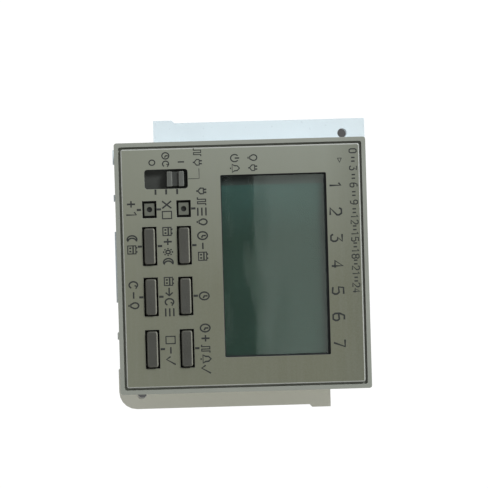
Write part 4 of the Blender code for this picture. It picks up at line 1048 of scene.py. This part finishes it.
def add_pin(mesh, start, end, radius, sides=8):
    """A round pin between two points."""
    start, end = Vector(start), Vector(end)
    turn = (end - start).to_track_quat("Z", "Y").to_matrix().to_4x4()
    place = Matrix.Translation((start + end) / 2) @ turn
    bmesh.ops.create_cone(mesh, cap_ends=True, segments=sides, radius1=radius, radius2=radius,
                          depth=(end - start).length, matrix=place)


JOINT_FOOT, JOINT_TOP, JOINT_HEIGHT, JOINT_RISE = 0.55 * MM, 0.2 * MM, 0.5 * MM, 0.12 * MM


def add_joint(mesh, x, y, z, towards):
    """A small cone of solder that stands on a board at Y."""
    turn = Vector((0, towards, 0)).to_track_quat("Z", "Y").to_matrix().to_4x4()
    place = Matrix.Translation((x, y + towards * JOINT_RISE, z)) @ turn
    bmesh.ops.create_cone(mesh, cap_ends=True, segments=10, radius1=JOINT_FOOT, radius2=JOINT_TOP,
                          depth=JOINT_HEIGHT, matrix=place)


BOARD = board_finish()
for name in ("control_board", "power_board"):
    softened(name, BOARD, "board_green", 0.12, segments=1)
power_low, power_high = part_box("power_board")
control_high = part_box("control_board")[1]
pins = {}
for name in ("relay", "transformer_core", "filter_capacitor", "surge_varistor"):
    low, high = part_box(name)
    pins[name] = [(low.x + (high.x - low.x) * u, low.z + (high.z - low.z) * v)
                  for u in (0.2, 0.8) for v in (0.25, 0.75)]
joints = bmesh.new()
for places in pins.values():
    for x, z in places:
        add_joint(joints, x, power_high.y, z, 1)
finish_piece("power_board_solder", joints, "case", SOLDER, "steel")
print("solder joints:", sum(len(places) for places in pins.values()))

# %% [markdown]
# ## Parts on the boards
# The relay is a box of glossy blue polyester over its base, with a vent nib. The transformer has a
# core of stacked sheet steel, whose edges show as fine lines, and a coil under yellow tape, wound in
# turns that overlap. The capacitor is an aluminium can in a shrunk black sleeve with a pale stripe.
# The surge disc is dipped in blue epoxy. Each stands on pins.


# %% Finishes for the parts
def banded(name, colours, scale, axis, roughness, depth, metallic=0.0, share=(0.45, 0.6)):
    """A finish with fine bands across one axis, as in stacked sheets, tape or wound turns."""
    made, tree = new_finish(name)
    point = object_point(tree)
    wave = node(tree, "TexWave", {"Vector": point, "Scale": scale, "Distortion": 0.6, "Detail": 2.0,
                                  "Detail Scale": 40.0}, bands_direction=axis)
    band = remap(tree, wave.outputs["Fac"], share[0], share[1], 0.0, 1.0)
    base = blend_colour(tree, band, colours[0], colours[1])
    cloud = noise(tree, point, 130.0, 4.0)
    base = blend_colour(tree, remap(tree, cloud, 0.4, 0.7, 0.0, 0.4), base, scaled(colours[0], 0.7))
    gloss = remap(tree, cloud, 0.3, 0.7, roughness - 0.06, roughness + 0.08)
    shade(tree, Base_Color=base, Roughness=gloss, Metallic=metallic, IOR=1.5,
          Normal=bump(tree, wave.outputs["Fac"], depth * MM))
    return made


RELAY_SHELL = plastic("relay_shell", (0.012, 0.055, 0.20), 0.28, grain=0.008, cloud=0.1, edge=1.6,
                      specks=0.0)
SHEETS = banded("core_sheets", ((0.10, 0.095, 0.09), (0.20, 0.19, 0.18)), 320.0, "Y", 0.42, 0.04, 0.8)
TAPE = banded("coil_tape_yellow", ((0.50, 0.34, 0.05), (0.60, 0.43, 0.09)), 55.0, "Z", 0.38, 0.05)
EPOXY = plastic("disc_epoxy", (0.015, 0.09, 0.26), 0.25, grain=0.05, cloud=0.2, edge=1.3, specks=0.2)
ZEBRA = banded("zebra_strip", ((0.03, 0.03, 0.03), (0.42, 0.42, 0.41)), 900.0, "X", 0.6, 0.01)
RUBBER = plastic("clear_rubber", (0.26, 0.26, 0.27), 0.62, grain=0.03, cloud=0.12, edge=1.15,
                 specks=0.1)


def sleeve_finish(stripe_x):
    made, tree = new_finish("sleeve")
    point = object_point(tree)
    across = coordinate(tree, point, "X")
    stripe = node(tree, "Math", {0: across, 1: stripe_x}, operation="GREATER_THAN").outputs[0]
    dashes = node(tree, "TexWave", {"Vector": point, "Scale": 45.0}, bands_direction="Y").outputs["Fac"]
    pale = blend_colour(tree, remap(tree, dashes, 0.72, 0.75, 0.0, 1.0), (0.45, 0.46, 0.46),
                        (0.03, 0.03, 0.035))
    base = blend_colour(tree, stripe, (0.018, 0.018, 0.024), pale)
    wrinkle = noise(tree, point, 420.0, 3.0)
    shade(tree, Base_Color=base, Roughness=remap(tree, wrinkle, 0.3, 0.7, 0.28, 0.42), IOR=1.5,
          Normal=bump(tree, wrinkle, 0.015 * MM))
    return made


# %% Relay, transformer, capacitor and surge disc
def standing_on(name, radius=0.35 * MM):
    """Adds the pins of a part on the power board to its mesh."""
    low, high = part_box(name)

    def add(mesh):
        for x, z in pins[name]:
            add_pin(mesh, (x, high.y - 0.5 * MM, z), (x, power_low.y, z), radius)
    return add


softened("relay", RELAY_SHELL, "relay_blue", 0.45, segments=3, extra=standing_on("relay"))
relay_low, relay_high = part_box("relay")
relay_middle = (relay_low + relay_high) / 2 / MM
circuit = row(("box", "arrow", "pulse"), relay_middle.x, relay_middle.z, 4.0, 4.0, 6.0)
PRINT = plastic("pale_print", (0.62, 0.62, 0.60), 0.5, specks=0.4)
strokes("relay_print", circuit, 0.3 * MM, 0.02 * MM, relay_low.y, PRINT, "relay_blue")
softened("transformer_core", SHEETS, "laminations", 0.2)
softened("transformer_coil", TAPE, "coil_tape", 0.5, segments=3)
can_low, can_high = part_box("filter_capacitor")
STRIPE_FROM = 0.82  # share of the can's width
SLEEVE = sleeve_finish(can_low.x + (can_high.x - can_low.x) * STRIPE_FROM)
softened("filter_capacitor", SLEEVE, "sleeve_black", 0.3, extra=standing_on("filter_capacitor"))
VENT, VENT_CORNER = 3.6 * MM, 3.4 * MM
CROSS, CROSS_WIDTH = 3.0 * MM, 0.15 * MM
vent = bmesh.new()
middle = (can_low + can_high) / 2
plate(vent, (middle.x - VENT, can_low.y - 0.04 * MM, middle.z - VENT),
      (middle.x + VENT, can_low.y + 0.05 * MM, middle.z + VENT), radius=VENT_CORNER, segments=8)
for half_x, half_z in ((CROSS, CROSS_WIDTH), (CROSS_WIDTH, CROSS)):
    plate(vent, (middle.x - half_x, can_low.y - 0.10 * MM, middle.z - half_z),
          (middle.x + half_x, can_low.y, middle.z + half_z))
finish_piece("capacitor_vent", vent, "case", STEEL, "steel")
softened("surge_varistor", EPOXY, "disc_blue", 0.9, segments=4,
         extra=standing_on("surge_varistor", 0.3 * MM))

# %% [markdown]
# ## Parts on the control board
# The processor is a square flat package: black epoxy with a round mark at its first pin, and rows of
# bent legs on all four sides. The crystal is a drawn steel can, and the backup cell a steel button
# held by two welded tabs. A flat cable of grey wires joins the two boards.

# %% Processor
chip_low, chip_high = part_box("microcontroller")
LEG, LEG_PITCH, LEGS = 1.1 * MM, 1.0 * MM, 12
LEG_HALF, LEG_UNDER = 0.2 * MM, 0.3 * MM
softened("microcontroller", BLACK, "black_plastic", 0.2)
legs = bmesh.new()
chip_middle = (chip_low + chip_high) / 2
leg_y = (control_high.y + 0.02 * MM, control_high.y + 0.25 * MM)
chip_half = (chip_high.x - chip_low.x) / 2
for i in range(LEGS):
    across = (i - (LEGS - 1) / 2) * LEG_PITCH
    wide = (across - LEG_HALF, across + LEG_HALF)
    for side in (-1, 1):
        reach = sorted((side * (chip_half - LEG_UNDER), side * (chip_half + LEG)))
        for x, z in ((reach, wide), (wide, reach)):
            plate(legs, (chip_middle.x + x[0], leg_y[0], chip_middle.z + z[0]),
                  (chip_middle.x + x[1], leg_y[1], chip_middle.z + z[1]))
finish_piece("processor_legs", legs, "case", SOLDER, "steel")
dot_x, dot_z = chip_low.x / MM + 1.8, chip_low.z / MM + 1.8
first_pin = rule((dot_x, dot_z), (dot_x + 0.2, dot_z))
strokes("processor_mark", first_pin, 0.9 * MM, 0.02 * MM, chip_high.y, PRINT, "black_plastic")
print("processor legs:", 4 * LEGS)

# %% Crystal, cell and cable
softened("crystal", STEEL, "steel", 0.35, segments=3)
softened("backup_cell", STEEL, "steel", 0.2)
button_low, button_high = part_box("backup_cell")
TAB_HALF, TAB, TAB_REACH = 2.0 * MM, 0.2 * MM, 1.5 * MM
left, right = ((button_low.x + button_high.x) / 2 + side * TAB_HALF for side in (-1, 1))
tab_y, tab_z = button_high.y + TAB, button_high.z + TAB_REACH
tabs = bmesh.new()
plate(tabs, (left, button_high.y, (button_low.z + button_high.z) / 2 - TAB_HALF), (right, tab_y, tab_z))
plate(tabs, (left, control_high.y, tab_z - TAB), (right, tab_y, tab_z))
finish_piece("cell_tabs", tabs, "case", STEEL, "steel")

CABLE = banded("cable_grey", ((0.30, 0.30, 0.31), (0.36, 0.36, 0.37)), 60.0, "Y", 0.5, 0.01)
cable_low, cable_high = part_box("board_ribbon")
WIRES = 12
cable = bmesh.new()
pitch = (cable_high.z - cable_low.z) / WIRES
cable_x = (cable_low.x + cable_high.x) / 2
for i in range(WIRES):
    z = cable_low.z + (i + 0.5) * pitch
    add_pin(cable, (cable_x, cable_low.y, z), (cable_x, cable_high.y, z), pitch * 0.52, sides=12)
bmesh.ops.translate(cable, verts=cable.verts, vec=(-cable_x, 0, 0))
bmesh.ops.scale(cable, verts=cable.verts, vec=((cable_high.x - cable_low.x) / pitch * 0.96, 1, 1))
bmesh.ops.translate(cable, verts=cable.verts, vec=(cable_x, 0, 0))
finish_piece("board_ribbon_finished", cable, "case", CABLE, "ribbon_grey", "board_ribbon", smooth=60)
print("cable of", WIRES, "wires")

# %% [markdown]
# ## Display holder, contact strips and switches
# The holder is a black moulding that clamps the display cell on the board. Two zebra strips, made of
# hair-thin black and clear layers, carry the signals. Under each key a rubber plunger presses a push
# switch. Each switch is a black body with four bright lugs.

# %% Holder, strips and switches
LUG, LUG_WIDTH, LUG_LENGTH = 0.12 * MM, 1.0 * MM, 2.4 * MM
softened("lcd_holder", BLACK, "black_plastic", 0.2)
for name in ("contact_strip_upper", "contact_strip_lower"):
    softened(name, ZEBRA, "silicone", 0.1)
for name in KEYS + BUTTONS:
    softened(name + "_switch", BLACK, "black_plastic", 0.2)
    low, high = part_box(name + "_switch")
    lugs = bmesh.new()
    for x in (low.x - LUG, high.x):
        for z in (low.z + LUG_WIDTH, high.z - 2 * LUG_WIDTH):
            plate(lugs, (x, high.y - LUG_LENGTH, z), (x + LUG, high.y, z + LUG_WIDTH))
    finish_piece(name + "_switch_lugs", lugs, "case", STEEL, "steel")
for name in KEYS:
    softened(name + "_plunger", RUBBER, "silicone", 0.25)
softened("slide_switch", STEEL, "steel", 0.2)

# %% [markdown]
# ## Moulded numbers
# On the back, above the terminals, the base has the numbers 1 to 4 moulded in relief. Low strokes in
# the base's own plastic, a little proud of the surface, read by their shadow. They are mirrored,
# because they are read from behind.

# %% Moulded numbers
back_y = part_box("base_case")[1].y
NUMBER_Z = -21.6
numbers = []
for number in range(1, 5):
    low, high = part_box(f"terminal_screw_{number}")
    x = (low.x + high.x) / 2 / MM
    numbers += [[(2 * x * MM - px, pz) for px, pz in line]
                for line in mark(str(number), x, NUMBER_Z, 2.2, 3.4)]
strokes("terminal_numbers", numbers, 0.55 * MM, 0.25 * MM, back_y, WHITE, "white_plastic")
